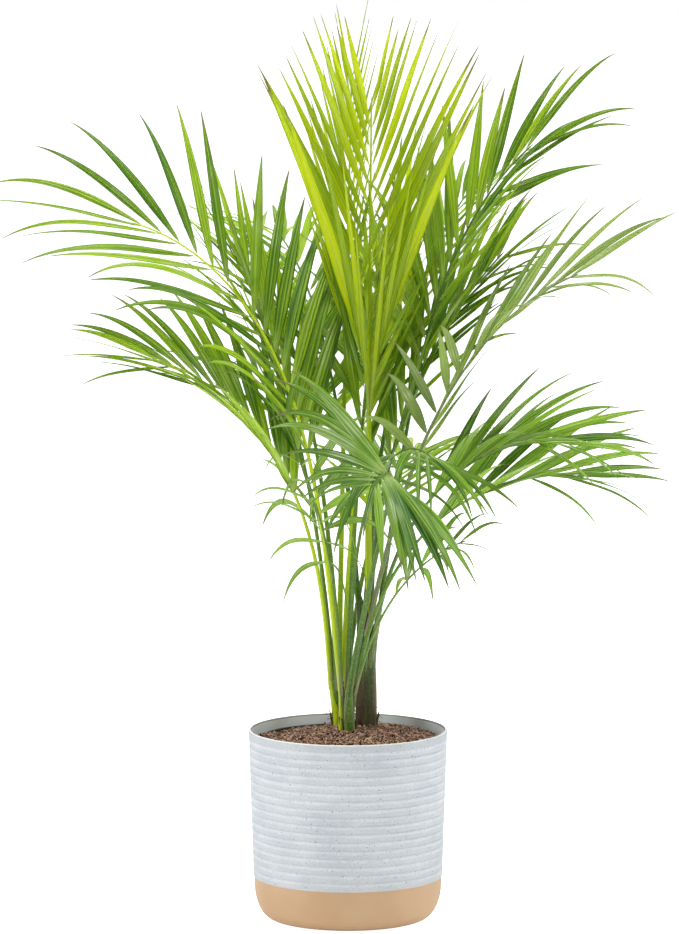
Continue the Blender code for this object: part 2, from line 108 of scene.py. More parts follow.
def frond(name, stem, seat, azimuth, lean, length, petiole, leaflet, **more):
    """One frond's design: angles in degrees, lengths in metres.

    seat is its place round the stem's top, azimuth the way that it leans,
    lean its tilt from upright at foot and tip, leaflet its longest leaflet. The pairs
    forward, lift and roll also run from foot to tip: how far leaflets point away from
    the rachis, how far they rise out of the frond's plane, and how far that plane turns.

    The finish: slot names its kind of leaf, blade and stalk name the materials, shade is a range
    from dark to light, stout how much thicker the stalk is than its solid at its foot,
    slim how narrow the first leaflets are to their solids, cane half the width of the
    stalk's sheathing foot, shift how far that is moved aside at the soil, and rise how
    far up the stalk it reaches.
    """
    design = dict(
        name=name, stem=stem, seat=seat, azimuth=azimuth, lean=lean, length=length,
        petiole=petiole, leaflet=leaflet, drift=0, bend=2.0, pairs=12, width=0.0155,
        forward=(50, 20), lift=(20, 5), roll=(0, 0), droop=0.35, pitch=(24, 24), taper=0.6,
        fan=1.0, wild=6, slot="leaf", blade="leaf", stalk="leaf", shade=(0.38, 0.62),
        stout=1.3, slim=(), cane=0.0042, shift=(0.0, 0.004), rise=0.016)
    design.update(more)
    return design


TRUNK_RISE = 0.085            # how far up the sheath of the short trunk reaches
YOUNG = dict(slot="young_leaf", blade="young_leaf", stalk="young_leaf")
PALE_BACKED = dict(slot="leaf_underside", blade="leaf_underside", stalk="leaf_underside")
COOL = dict(blade="cool_leaf")
SUNLIT_STALK = "young_leaf"   # material of a stalk that stands in the light

FRONDS = (
    # The young palm at the back on the right: a short trunk and the tallest leaves.
    frond("frond_crown", "rear_right", None, 275, (1, 7), 0.70, 0.27, 0.36, bend=1.5,
          pairs=17, width=0.018, forward=(14, 22, 25, 23, 18, 12),
          lift=(-75, -35, -5, 5, 8, 8), droop=0.22, taper=0.33, pitch=(45, 40, 35, 30), wild=1,
          shade=(0.62, 0.62), stout=1.65, slim=(0.45, 0.50, 0.62), cane=0.0112, shift=(0.0, 0.0),
          rise=TRUNK_RISE, **YOUNG),
    frond("frond_right_high", "rear_right", 10, 2, (8, 50), 0.68, 0.35, 0.20, bend=3.3,
          pairs=13, width=0.018, forward=(42, 34, 25, 10), roll=(30, 62), taper=0.8,
          droop=0.45, cane=0.0060),
    frond("frond_right_mid", "rear_right", 70, 16, (0, 46), 0.54, 0.22, 0.21, bend=1.3,
          pairs=13, width=0.016, forward=(32, 20), roll=(10, 25)),
    frond("frond_right_grey", "rear_right", -110, -38, (15, 70), 0.62, 0.24, 0.18, bend=1.8,
          pairs=12, forward=(55, 14), roll=(0, 50), taper=1.0, shade=(0.60, 0.60), cane=0.0060,
          **PALE_BACKED),
    frond("frond_right_arch", "rear_right", -50, -25, (12, 100), 0.43, 0.20, 0.20, bend=1.5,
          pairs=11, forward=(34, 22), roll=(10, 20), **COOL),
    frond("frond_back_right", "rear_right", 130, 60, (8, 60), 0.64, 0.30, 0.22, bend=1.8),
    frond("frond_back", "rear_right", 190, 112, (12, 75), 0.62, 0.30, 0.22, bend=2.2),
    # The young palm at the back on the left.
    frond("frond_crown_rear", "rear_left", None, 80, (6, 8), 0.80, 0.46, 0.17, bend=1.0,
          pairs=16, width=0.009, forward=(20, 12), lift=(10, 10), droop=0.05, pitch=(34, 34),
          wild=1, shade=(0.45, 0.45), **YOUNG),
    frond("frond_crown_young", "rear_left", 310, 70, (5, 15), 0.64, 0.34, 0.20, bend=1.2,
          drift=-55, pairs=14, width=0.013, forward=(16, 20, 16, 10), lift=(-60, -30, 0, 6),
          droop=0.1, pitch=(34, 34), wild=1, shade=(0.55, 0.55), **YOUNG),
    frond("frond_left_mid", "rear_left", 190, 186, (4, 76), 0.53, 0.25, 0.20, bend=1.9,
          pairs=13, forward=(42, 34, 25, 10), lift=(14, 4), roll=(-15, -50), taper=0.65,
          pitch=(40, 30), wild=3, stout=1.45, cane=0.0062, shift=(0.0030, -0.0040),
          stalk=SUNLIT_STALK),
    frond("frond_left_back", "rear_left", 70, 118, (8, 58), 0.66, 0.32, 0.22, bend=1.8,
          shade=(0.70, 0.70)),
    frond("frond_left_upright", "rear_left", 130, 152, (5, 28), 0.60, 0.32, 0.22, bend=1.4,
          forward=(34, 14), lift=(14, 4), droop=0.15, shade=(0.74, 0.74), cane=0.0054),
    frond("frond_back_low", "rear_left", 10, 70, (20, 98), 0.46, 0.24, 0.18, bend=1.6),
    # The young palm in front.
    frond("frond_left_high", "front", 150, 178, (6, 76), 0.705, 0.30, 0.26, bend=2.8,
          pairs=15, width=0.019, forward=(46, 46, 44, 38, 14), lift=(8, 4), roll=(-20, -58),
          taper=0.8, droop=0.45, wild=3, shade=(0.44, 0.44), stout=1.5, cane=0.0056,
          shift=(-0.0035, -0.0010), stalk=SUNLIT_STALK),
    frond("frond_right_fan", "front", 30, -10, (9, 98), 0.46, 0.24, 0.20, bend=1.4,
          pairs=11, forward=(38, 24), roll=(10, 25), shade=(0.64, 0.64), **COOL),
    frond("frond_right_low", "front", -30, -22, (14, 70), 0.27, 0.16, 0.11, bend=1.5,
          pairs=5, width=0.010, forward=(65, 35), roll=(20, 30), droop=0.8, shade=(0.68, 0.68),
          stout=1.0, cane=0.0030, **COOL),
    frond("frond_front", "front", 270, 320, (14, 112), 0.49, 0.34, 0.20, bend=2.1,
          drift=-70, pairs=10, width=0.017, forward=(68, 40), roll=(-50, -50), lift=(5, -15),
          droop=0.6, pitch=(75, 75), shade=(0.42, 0.42), stout=1.5, cane=0.0066,
          shift=(0.0025, -0.0040), **COOL),
    frond("frond_front_low", "front", None, 300, (4, 110), 0.45, 0.30, 0.17, bend=2.6,
          pairs=8, width=0.014, forward=(75, 50), lift=(-30, -40), droop=1.3, pitch=(65, 65),
          stout=1.0, **COOL),
    frond("frond_left_low", "front", 210, 205, (2, 26), 0.32, 0.16, 0.14, bend=1.6,
          pairs=6, width=0.008, forward=(85, 60), lift=(0, -10), droop=1.5, wild=10, stout=1.0,
          cane=0.0030, **COOL),
    frond("frond_centre_low", "rear_left", 250, 215, (2, 40), 0.45, 0.20, 0.17, bend=1.6,
          pairs=11, width=0.013, forward=(60, 25), droop=1.0, wild=9, stout=1.0, **COOL),
    frond("frond_centre", "front", 90, 70, (4, 24), 0.58, 0.28, 0.21, bend=1.2,
          forward=(36, 14), lift=(12, 4), droop=0.15, shade=(0.66, 0.66)),
)


# ------------------------------------------------------------------------ soil line
def soil_height(radius):
    """Height of the domed soil at a distance from the pot's middle."""
    share = min(radius / soil_radius(SOIL_EDGE), 1.0)
    return SOIL_EDGE + (SOIL_CROWN - SOIL_EDGE) * math.cos(share * math.pi / 2)


def nursery_radius(height):
    """Outside radius of the nursery pot's wall at a height."""
    share = (height - FLOOR - GAP) / (NURSERY_TOP - FLOOR - GAP)
    return NURSERY_FOOT_RADIUS + (NURSERY_RIM_RADIUS - NURSERY_FOOT_RADIUS) * share


def soil_radius(height):
    """Radius of the soil inside the nursery pot at a height."""
    return nursery_radius(height) - NURSERY_WALL - GAP


def stem_foot(stem):
    """Where a stem leaves the soil: the highest soil under its foot."""
    x, y = stem["place"]
    nearest = max(0.0, math.hypot(x, y) - stem["foot"])
    return Vector((x, y, soil_height(nearest) + GAP))


# ------------------------------------------------------------------- frond layout
class Spine:
    """Centre line of a frond's stalk and rachis, with a frame along it."""

    def __init__(self, design):
        stem = STEMS[design["stem"]]
        seat = math.radians(design["seat"] or 0)
        reach = 0.0 if design["seat"] is None else stem["top"] - PETIOLE_RADIUS
        # A leaning stalk's foot is tilted: it is lifted until its low corner clears the stem.
        dip = 1.3 * PETIOLE_RADIUS * math.sin(math.radians(abs(design["lean"][0])))
        top = stem_foot(stem) + Vector((0, 0, stem["height"] + GAP + dip))
        self.design = design
        self.points = [top + Vector((reach * math.cos(seat), reach * math.sin(seat), 0))]
        step = design["length"] / SPINE_STEPS
        for index in range(SPINE_STEPS):
            along = self.direction((index + 0.5) / SPINE_STEPS)
            self.points.append(self.points[-1] + along * step)

    def angles(self, share):
        """Azimuth and lean at a share of the length, in radians."""
        design = self.design
        first, last = design["lean"]
        azimuth = design["azimuth"] + design["drift"] * share
        lean = first + (last - first) * share ** design["bend"]
        return math.radians(azimuth), math.radians(lean)

    def direction(self, share):
        """Unit vector along the frond."""
        azimuth, lean = self.angles(share)
        return Vector((math.sin(lean) * math.cos(azimuth),
                       math.sin(lean) * math.sin(azimuth), math.cos(lean)))

    def point(self, share):
        """Place on the centre line."""
        position = min(share, 1.0) * SPINE_STEPS
        index = min(int(position), SPINE_STEPS - 1)
        return self.points[index].lerp(self.points[index + 1], position - index)

    def blade_share(self, share):
        """How far along the leafy part, from 0 to 1."""
        petiole = self.design["petiole"] / self.design["length"]
        return max(0.0, (share - petiole) / (1.0 - petiole))

    def frame(self, share):
        """Vectors along the frond, across it, and out of its upper side."""
        azimuth, lean = self.angles(share)
        along = self.direction(share)
        outward = Vector((math.cos(azimuth), math.sin(azimuth), 0))
        upper = Vector((0, 0, math.sin(lean))) - outward * math.cos(lean)
        first, last = self.design["roll"]
        roll = first + (last - first) * self.blade_share(share)
        upper = Matrix.Rotation(math.radians(roll), 3, along) @ upper
        return along, along.cross(upper), upper

    def radius(self, share):
        """Half thickness of the stalk."""
        return PETIOLE_RADIUS + (RACHIS_TIP_RADIUS - PETIOLE_RADIUS) * share ** 0.8


def leaflet_share(design, pair):
    """Where along the frond a pair of leaflets grows."""
    petiole = design["petiole"] / design["length"]
    return petiole + (1.0 - petiole) * (pair + FIRST_PAIR) / design["pairs"] * LAST_PAIR


def leaflet_length(design, position):
    """Leaflets are longest near the foot of the blade and shorten towards its tip."""
    if position < 0.2:
        return design["leaflet"] * (0.85 + 0.15 * math.sin(position / 0.2 * math.pi / 2))
    fall = (position - 0.2) / 0.8
    return design["leaflet"] * (1.0 - (1.0 - design["taper"]) * fall ** 1.4)


def leaflet_width(share):
    """Width along a leaflet, as a share of its widest: a long lance shape."""
    return min(1.0, 0.30 + 2.6 * share) * (1.0 - share ** 2.2) ** 0.8


def between(values, position):
    """Evenly spaced values, read at a position from 0 at the first to 1 at the last."""
    place = position * (len(values) - 1)
    index = min(int(place), len(values) - 2)
    return values[index] + (values[index + 1] - values[index]) * (place - index)


def leaflet_line(spine, pair, side, chance, swing):
    """Centre points, directions and width vectors along one leaflet."""
    design = spine.design
    position = pair / (design["pairs"] - 1)
    share = leaflet_share(design, pair)
    along, across, upper = spine.frame(share)
    turn, rise, trim = swing
    forward = between(design["forward"], position ** design["fan"])
    lift = between(design["lift"], position)
    forward = math.radians(forward + chance[0] * design["wild"] + turn)
    lift = math.radians(lift + chance[1] * 1.5 * design["wild"] + rise)
    outward = across * (side * math.cos(lift)) + upper * math.sin(lift)
    heading = along * math.cos(forward) + outward * math.sin(forward)
    pitch = math.radians(between(design["pitch"], position) + chance[2] * 8)
    flat = (along - heading * along.dot(heading)).normalized()
    width = Matrix.Rotation(-side * pitch, 3, heading) @ flat
    length = leaflet_length(design, position) * (1 + 0.09 * chance[3]) * trim
    droop = design["droop"] * (1 + 0.6 * chance[4])
    point = spine.point(share) + outward * spine.radius(share)
    step = length / LEAFLET_STEPS
    rows = []
    for index in range(LEAFLET_STEPS + 1):
        rows.append((point.copy(), width.copy(), heading.cross(width) * side))
        level = math.hypot(heading.x, heading.y)
        fall = droop * level * ((index + 1) / LEAFLET_STEPS) ** 1.3 / LEAFLET_STEPS * 3
        heading = (heading + Vector((0, 0, -fall))).normalized()
        width = (width - heading * width.dot(heading)).normalized()
        point = point + heading * step
    return rows


def section(row, half_width, half_thickness):
    """Corners of a leaflet's cross-section: rear upper, front upper, front lower, rear lower."""
    point, across, upper = row
    half = across * half_width
    thick = upper * half_thickness
    return [point - half + thick, point + half + thick,
            point + half - thick, point - half - thick]


def tube_tree(rings):
    """A closed tube through rings of corners: its search tree and the box round it."""
    sides = len(rings[0])
    verts = [corner for ring in rings for corner in ring]
    faces = [tuple(range(sides)), tuple(range(len(verts) - sides, len(verts)))]
    for low in range(0, len(verts) - sides, sides):
        for corner in range(sides):
            here, beside = low + corner, low + (corner + 1) % sides
            above, across = here + sides, beside + sides
            faces += [(here, beside, across), (here, across, above),
                      (here, beside, above), (beside, across, above)]
    box = ([min(v[i] for v in verts) for i in range(3)],
           [max(v[i] for v in verts) for i in range(3)])
    return BVHTree.FromPolygons(verts, faces), box


def leaflet_trees(rows, width):
    """Trees of a leaflet with its clearance: all of it, and without its foot."""
    grow = LEAFLET_GAP
    half = LEAFLET_THICKNESS / 2
    foot = section(rows[0], SOCKET / 2 + grow, PETIOLE_RADIUS / 2 + grow)
    neck = section(rows[1], width * NECK + grow, half + 2 * grow)
    rest = [section(rows[index], width / 2 * leaflet_width(index / LEAFLET_STEPS) + grow,
                    half + grow) for index in SECTIONS]
    rest.append(section(rows[-1], grow, grow))
    return tube_tree([foot] + rest), tube_tree([neck] + rest)


def stalk_tree(spine):
    """Tree of a stalk and rachis with their clearance."""
    design = spine.design
    petiole = design["petiole"] / design["length"]
    half = SOCKET / 2 / design["length"]
    shares = [petiole * step / PETIOLE_STEPS * PETIOLE_LAST
              for step in range(PETIOLE_STEPS + 1)]
    for pair in range(design["pairs"]):
        middle = leaflet_share(design, pair)
        shares += [middle - half, middle + half]
    rings = []
    for share in shares + [1.0]:
        _, across, upper = spine.frame(share)
        radius = spine.radius(share)
        keel = spine.point(share) - upper * radius * KEEL
        ring = [spine.point(share) + upper * radius, keel - across * radius,
                keel + across * radius]
        middle = sum(ring, Vector()) / len(ring)
        rings.append([corner + (corner - middle).normalized() * LEAFLET_GAP for corner in ring])
    return tube_tree(rings)


def meets(tube, others):
    """True where a tube touches any of the others: boxes are compared first, for speed."""
    tree, (low, high) = tube
    return any(all(low[i] <= far_high[i] and far_low[i] <= high[i] for i in range(3))
               and tree.overlap(far) for far, (far_low, far_high) in others)


# Ways a blocked leaflet is moved aside: turn and rise in degrees, length share.
SWINGS = [(turn, rise, 1.0) for rise in (0, 10, -10, 20, -20) for turn in (0, 7, -7, 14, -14)]
SWINGS += [(turn, rise, trim) for trim in (0.85, 0.7, 0.5) for rise in (0, 12, -12)
           for turn in (0, 8, -8)]


def lay_out():
    """Place every leaflet of every frond clear of the others: spines with their leaflets."""
    spines = [Spine(design) for design in FRONDS]
    stalks = [stalk_tree(spine) for spine in spines]
    placed = []
    plants = []
    for number, spine in enumerate(spines):
        design = spine.design
        luck = random.Random(FIRST_SEED + number)
        own = [stalks[number]]
        others = stalks[:number] + stalks[number + 1:] + placed
        leaflets = {}
        for pair in range(design["pairs"]):
            narrowing = 1.0 - BLADE_END * (pair / (design["pairs"] - 1)) ** 2
            for side in (-1, 1):
                chance = [luck.uniform(-1, 1) for _ in range(5)]
                width = design["width"] * narrowing * (1 + 0.1 * luck.uniform(-1, 1))
                for swing in SWINGS:
                    rows = leaflet_line(spine, pair, side, chance, swing)
                    whole, free = leaflet_trees(rows, width)
                    blocked = meets(free, own) or meets(whole, others)
                    if not blocked and whole[1][0][2] > LOWEST_LEAFLET:
                        own.append(free)
                        placed.append(whole)
                        leaflets[pair, side] = (rows, width)
                        break
        plants.append((spine, leaflets))
    return plants


# ------------------------------------------------------------------------ meshes
def clamp(value):
    """Limit to 0..1."""
    return max(0.0, min(1.0, value))


def ease(low, high, value):
    """Smooth step from 0 at low to 1 at high."""
    share = clamp((value - low) / (high - low))
    return share * share * (3.0 - 2.0 * share)


def add_object(name, data):
    """A new object in the scene."""
    item = bpy.data.objects.new(name, data)
    bpy.context.scene.collection.objects.link(item)
    return item


def new_bmesh():
    """A bmesh with the map and the tint that every material of the plant reads."""
    bm = bmesh.new()
    bm.loops.layers.uv.new("UVMap")
    bm.verts.layers.float_color.new("tint")
    return bm


def sleeve(bm, rows, ring_at, tint, across=None, material=0):
    """A closed tube through rings of corners, drawn to a point at both ends.

    ring_at(row) gives a ring's middle and its corners, tint(column, row) a corner's
    tint, and across(column) its place on the map's U axis.
    """
    rings = []
    for row in range(rows + 1):
        middle, ring = ring_at(row)
        rings.append(ring if 0 < row < rows else [middle] * len(ring))
    columns = len(rings[0])
    uv = bm.loops.layers.uv.verify()
    shade = bm.verts.layers.float_color["tint"]
    made = bmesh.ops.create_grid(bm, x_segments=columns, y_segments=rows, size=0.5)
    for vertex in made["verts"]:
        column = round((vertex.co.x + 0.5) * columns)
        row = round((vertex.co.y + 0.5) * rows)
        vertex.co = rings[row][column % columns]
        vertex[shade] = tint(column % columns, row)
        side = across(column) if across else column / columns
        for loop in vertex.link_loops:
            loop[uv].uv = (side, row / rows)
            loop.face.material_index = material


def oval(centre, across, front, sides, wide, deep, swell=None):
    """Corners of an oval ring; swell(column, angle) is its local size."""
    ring = []
    for column in range(sides):
        angle = math.tau * column / sides
        size = swell(column, angle) if swell else 1.0
        ring.append(centre + across * (math.sin(angle) * wide * size)
                    + front * (math.cos(angle) * deep * size))
    return ring


def patches(*place):
    """Patchy noise between 0 and 1 at a place."""
    return noise.noise(Vector(place)) * 0.5 + 0.5


def finish_piece(bm, name, materials, slot, *nodes, sharp=28.0, merge=1e-6):
    """Turn a bmesh into a piece that rides on the part in place of its solids."""
    bmesh.ops.remove_doubles(bm, verts=bm.verts, dist=merge)
    bmesh.ops.dissolve_degenerate(bm, edges=bm.edges, dist=1e-7)
    bmesh.ops.recalc_face_normals(bm, faces=bm.faces)
    mesh = bpy.data.meshes.new(name)
    bm.to_mesh(mesh)
    bm.free()
    mesh.shade_smooth()
    mesh.set_sharp_from_angle(angle=math.radians(sharp))
    for material in materials:
        mesh.materials.append(material)
    piece = add_object(name, mesh)
    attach(piece, "root")
    if nodes:
        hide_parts(*nodes)


def turned(bm, outline, sides):
    """Spin an outline of (radius, height) points once round the Z axis."""
    points = [bm.verts.new((radius, 0.0, height)) for radius, height in outline]
    edges = [bm.edges.new(pair) for pair in zip(points, points[1:])]
    bmesh.ops.spin(bm, geom=points + edges, axis=(0, 0, 1), cent=(0, 0, 0),
                   angle=math.tau, steps=sides, use_merge=True)
    bmesh.ops.remove_doubles(bm, verts=bm.verts, dist=1e-6)


def arc(centre, radius, start, end, steps):
    """Points on an arc in the outline's plane, angles in degrees."""
    angles = [math.radians(start + (end - start) * i / steps) for i in range(steps + 1)]
    return [(centre[0] + radius * math.cos(a), centre[1] + radius * math.sin(a))
            for a in angles]


# --------------------------------------------------------------------- materials
class Sheet:
    """Builds a node tree step by step."""

    def __init__(self, tree):
        self.tree = tree

    def add(self, kind, output=0, inputs=None, **settings):
        """Add a node, set or link its inputs, and return one of its outputs."""
        node = self.tree.nodes.new(kind)
        for key, value in settings.items():
            setattr(node, key, value)
        for key, value in (inputs or {}).items():
            if isinstance(value, bpy.types.NodeSocket):
                self.tree.links.new(value, node.inputs[key])
            else:
                node.inputs[key].default_value = value
        return node.outputs[output] if output is not None else node

    def maths(self, operation, first, second=0.0, limit=False):
        """One arithmetic step."""
        return self.add("ShaderNodeMath", 0, {0: first, 1: second}, operation=operation,
                        use_clamp=limit)

    def times(self, first, second):
        """The product of two values."""
        return self.maths("MULTIPLY", first, second)

    def plus(self, first, second, limit=False):
        """The sum of two values."""
        return self.maths("ADD", first, second, limit)

    def centred(self, value):
        """A value between 0 and 1, moved to lie round 0."""
        return self.maths("SUBTRACT", value, 0.5)

    def blend(self, share, first, second):
        """Mix two colours by a share."""
        return self.add("ShaderNodeMix", 2, {0: share, 6: first, 7: second}, data_type="RGBA")

    def step(self, value, low, high, start=0.0, end=1.0):
        """Smooth step of a value from low to high."""
        return self.add("ShaderNodeMapRange", 0,
                        {"Value": value, "From Min": low, "From Max": high,
                         "To Min": start, "To Max": end},
                        interpolation_type="SMOOTHSTEP")

    def noise(self, vector, scale, detail=3.0, roughness=0.5):
        """Cloudy noise between 0 and 1."""
        return self.add("ShaderNodeTexNoise", 0,
                        {"Vector": vector, "Scale": scale, "Detail": detail,
                         "Roughness": roughness})

    def stretch(self, vector, scale, offset=None):
        """Scale a vector's axes one by one, then move it."""
        node = self.add("ShaderNodeVectorMath", 0, {0: vector, 1: scale}, operation="MULTIPLY")
        if offset is None:
            return node
        return self.add("ShaderNodeVectorMath", 0, {0: node, 1: offset}, operation="ADD")

    def object_place(self):
        """Position in the part's own frame."""
        return self.add("ShaderNodeTexCoord", "Object")

    def tint(self):
        """The tint attribute's three colours and its alpha."""
        node = self.add("ShaderNodeAttribute", None, attribute_name="tint")
        parts = self.add("ShaderNodeSeparateColor", None, {"Color": node.outputs["Color"]})
        return parts.outputs[0], parts.outputs[1], parts.outputs[2], node.outputs["Alpha"]

    def group(self, name, build, inputs, outputs):
        """The outputs of a node group, which build fills in the first time."""
        tree = bpy.data.node_groups.get(name) or new_group(name, build, inputs, outputs)
        node = self.add("ShaderNodeGroup", None, inputs, node_tree=tree)
        return [node.outputs[label] for label in outputs]

    def grain(self, vector, cloud_scale, fine_scale):
        """Cloudy colour variation and fine grain, both between 0 and 1."""
        return self.group("grain", grain_nodes, {
            "Vector": vector, "Cloud Scale": cloud_scale, "Fine Scale": fine_scale},
            ("Cloud", "Fine"))


class Surface(Sheet):
    """A new material with a Principled shader on its output."""

    def __init__(self, name):
        self.material = bpy.data.materials.new(name)
        self.material.use_nodes = True
        super().__init__(self.material.node_tree)
        self.shader = self.tree.nodes["Principled BSDF"]

    def finish(self, face, gloss, height, strength, distance, specular=0.5):
        """Put colour, roughness and relief on the shader, and return the relief."""
        relief = self.add("ShaderNodeBump", 0, {
            "Strength": strength, "Distance": distance, "Height": height})
        for key, value in (("Base Color", face), ("Roughness", gloss), ("Normal", relief)):
            self.tree.links.new(value, self.shader.inputs[key])
        self.shader.inputs["Specular IOR Level"].default_value = specular
        return relief


def new_group(name, build, inputs, outputs):
    """A shader node group whose first input is a vector and whose others are values."""
    tree = bpy.data.node_groups.new(name, "ShaderNodeTree")
    for number, label in enumerate(inputs):
        kind = "NodeSocketFloat" if number else "NodeSocketVector"
        tree.interface.new_socket(label, in_out="INPUT", socket_type=kind)
    for label in outputs:
        tree.interface.new_socket(label, in_out="OUTPUT", socket_type="NodeSocketFloat")
    given = tree.nodes.new("NodeGroupInput").outputs
    end = tree.nodes.new("NodeGroupOutput").inputs
    for label, value in zip(outputs, build(Sheet(tree), given)):
        tree.links.new(value, end[label])
    return tree


def grain_nodes(sheet, given):
    """Two layers of noise, one cloudy and one fine."""
    return (sheet.noise(given["Vector"], given["Cloud Scale"]),
            sheet.noise(given["Vector"], given["Fine Scale"], 2.0, 0.6))


def vein_nodes(sheet, given):
    """Lengthwise veins of a leaflet: streaks, midrib, margin and the height of the relief."""
    across = sheet.add("ShaderNodeSeparateXYZ", 0, {0: given["Map"]})
    shift = given["Shift"]
    offset = sheet.add("ShaderNodeCombineXYZ", 0, {
        0: sheet.times(shift, 91.0), 1: sheet.times(shift, 37.0)})
    streak = sheet.noise(sheet.stretch(given["Map"], (7.0, 0.5, 1.0), offset), 1.0, 4.0, 0.7)
    bands = sheet.plus(sheet.times(across, math.tau * 3.0), sheet.times(shift, 20.0))
    bands = sheet.step(sheet.maths("SINE", bands), -0.9, 0.9)
    aside = sheet.maths("ABSOLUTE", sheet.centred(across))
    midrib = sheet.step(aside, 0.07, 0.02)
    margin = sheet.step(aside, 0.42, 0.49)
    streak = sheet.plus(sheet.times(streak, 0.90), sheet.times(bands, 0.10))
    return streak, midrib, margin, sheet.plus(bands, sheet.times(midrib, 0.8))


def colour(red, green, blue):
    """A linear colour with full alpha from screen values between 0 and 255."""
    def linear(value):
        value /= 255.0
        return value / 12.92 if value <= 0.04045 else ((value + 0.055) / 1.055) ** 2.4
    return linear(red), linear(green), linear(blue), 1.0


def tinted(base, red, green, blue):
    """A colour with its channels scaled."""
    return [min(1.0, channel * share) for channel, share in zip(base, (red, green, blue))] + [1.0]


# Colour of the painted sheen on the leaves.
LEAF_SHEEN = colour(204, 218, 170)


def leaf_material(name, light, deep, back, rib, glow, sheen_share):
    """A satin leaf with pleats, a pale midrib, a duller underside, dry thread tips and patches of
    painted sheen.
    """
    leaf = Surface(name)
    shade, pale, dry, under = leaf.tint()
    place = leaf.object_place()
    streak, midrib, margin, height = leaf.group("leaf_veins", vein_nodes, {
        "Map": leaf.add("ShaderNodeTexCoord", "UV"), "Shift": shade},
        ("Streak", "Midrib", "Margin", "Height"))
    cloud, fine = leaf.grain(place, 18.0, 900.0)
    tone = leaf.plus(leaf.step(streak, 0.30, 0.70, 0.15, 0.85),
                     leaf.times(leaf.centred(cloud), 0.5))
    tone = leaf.plus(tone, leaf.centred(shade), limit=True)
    face = leaf.blend(tone, deep, light)
    face = leaf.blend(leaf.times(pale, 0.75), face, rib)
    face = leaf.blend(leaf.times(midrib, 0.45), face, rib)
    lower = leaf.blend(tone, back, light)
    lower = leaf.blend(leaf.times(midrib, 0.6), lower, rib)
    face = leaf.blend(leaf.times(under, 0.65), face, lower)
    # Painted sheen: pale patches painted on the face where the streaks are light.
    sheen_patch = leaf.step(leaf.noise(place, 13.0, 2.0), 0.52, 0.68, 0.0, sheen_share)
    face = leaf.blend(leaf.times(sheen_patch, leaf.step(streak, 0.42, 0.62)), face, LEAF_SHEEN)
    face = leaf.blend(leaf.times(margin, 0.55), face, tinted(deep, 0.55, 0.55, 0.55))
    face = leaf.blend(dry, face, leaf.blend(fine, DRY_DARK, DRY_LIGHT))
    gloss = leaf.plus(leaf.step(under, 0.0, 1.0, 0.36, 0.55), leaf.times(fine, 0.12))
    relief = leaf.finish(face, gloss, height, 0.6, 0.0007, 0.35)
    through = leaf.add("ShaderNodeBsdfTranslucent", 0, {
        "Color": leaf.blend(0.30, face, light), "Normal": relief})
    both = leaf.add("ShaderNodeMixShader", 0, {0: glow, 1: leaf.shader.outputs[0], 2: through})
    leaf.tree.links.new(both, leaf.tree.nodes["Material Output"].inputs["Surface"])


def stalk_material(name, light, deep, freckle):
    """Green stalk with lengthwise streaks and freckles, browning where the tint says so."""
    stalk = Surface(name)
    shade, margin, brown, _ = stalk.tint()
    chart = stalk.add("ShaderNodeTexCoord", "UV")
    place = stalk.object_place()
    cloud, fine = stalk.grain(place, 45.0, 1400.0)
    streak = stalk.noise(stalk.stretch(chart, (30.0, 3.0, 1.0)), 1.0, 3.0, 0.6)
    tone = stalk.plus(stalk.step(streak, 0.3, 0.7, 0.0, 0.75), stalk.times(cloud, 0.25))
    tone = stalk.plus(tone, stalk.centred(shade), limit=True)
    green = stalk.blend(tone, deep, light)
    speckle = stalk.noise(place, 420.0, 2.0, 0.6)
    green = stalk.blend(stalk.step(speckle, 0.56, 0.66, 0.0, 0.45 * freckle), green,
                        tinted(deep, 0.35, 0.35, 0.35))
    green = stalk.blend(stalk.step(speckle, 0.42, 0.34, 0.0, 0.25 * freckle), green, PALE_SPECK)
    dead = stalk.blend(streak, HUSK_DARK, HUSK_LIGHT)
    papery = stalk.blend(stalk.step(fine, 0.3, 0.6, 0.35, 1.0), HUSK_LIGHT, PAPERY)
    face = stalk.blend(margin, green, papery)
    face = stalk.blend(brown, face, dead)
    gloss = stalk.step(brown, 0.0, 1.0, 0.42, 0.8)
    stalk.finish(face, gloss, streak, 0.4, 0.0008, 0.4)


DRY_LIGHT = colour(168, 148, 108)
DRY_DARK = colour(92, 80, 60)
HUSK_LIGHT = colour(118, 92, 70)
HUSK_DARK = colour(46, 33, 24)
PAPERY = colour(196, 172, 148)
PALE_SPECK = colour(164, 176, 120)

LEAF_FINISHES = {
    "leaf": dict(light=colour(178, 211, 38), deep=colour(62, 115, 6), back=colour(126, 162, 48),
                 rib=colour(186, 212, 100), glow=0.30, sheen_share=0.45),
    "cool_leaf": dict(light=colour(166, 208, 66), deep=colour(46, 103, 14),
                      back=colour(132, 164, 74), rib=colour(194, 214, 132), glow=0.26, sheen_share=0.75),
    "young_leaf": dict(light=colour(226, 238, 14), deep=colour(144, 182, 6),
                       back=colour(200, 222, 60), rib=colour(236, 242, 140), glow=0.42, sheen_share=0.5),
    "leaf_underside": dict(light=colour(164, 190, 88), deep=colour(94, 126, 50),
                           back=colour(140, 156, 104), rib=colour(182, 192, 146),
                           glow=0.22, sheen_share=0.9),
}
STALK_FINISHES = {
    "leaf": dict(light=colour(112, 152, 38), deep=colour(26, 66, 14), freckle=1.0),
    "young_leaf": dict(light=colour(192, 212, 8), deep=colour(112, 148, 2), freckle=0.35),
    "leaf_underside": dict(light=colour(132, 146, 92), deep=colour(76, 94, 50), freckle=0.8),
}


def plant_materials():
    """Every leaf and stalk material, by name, made once."""
    for kind, make, finishes in (("blade_", leaf_material, LEAF_FINISHES),
                                 ("stalk_", stalk_material, STALK_FINISHES)):
        for slot, finish in finishes.items():
            if kind + slot not in bpy.data.materials:
                make(kind + slot, **finish)
    return bpy.data.materials


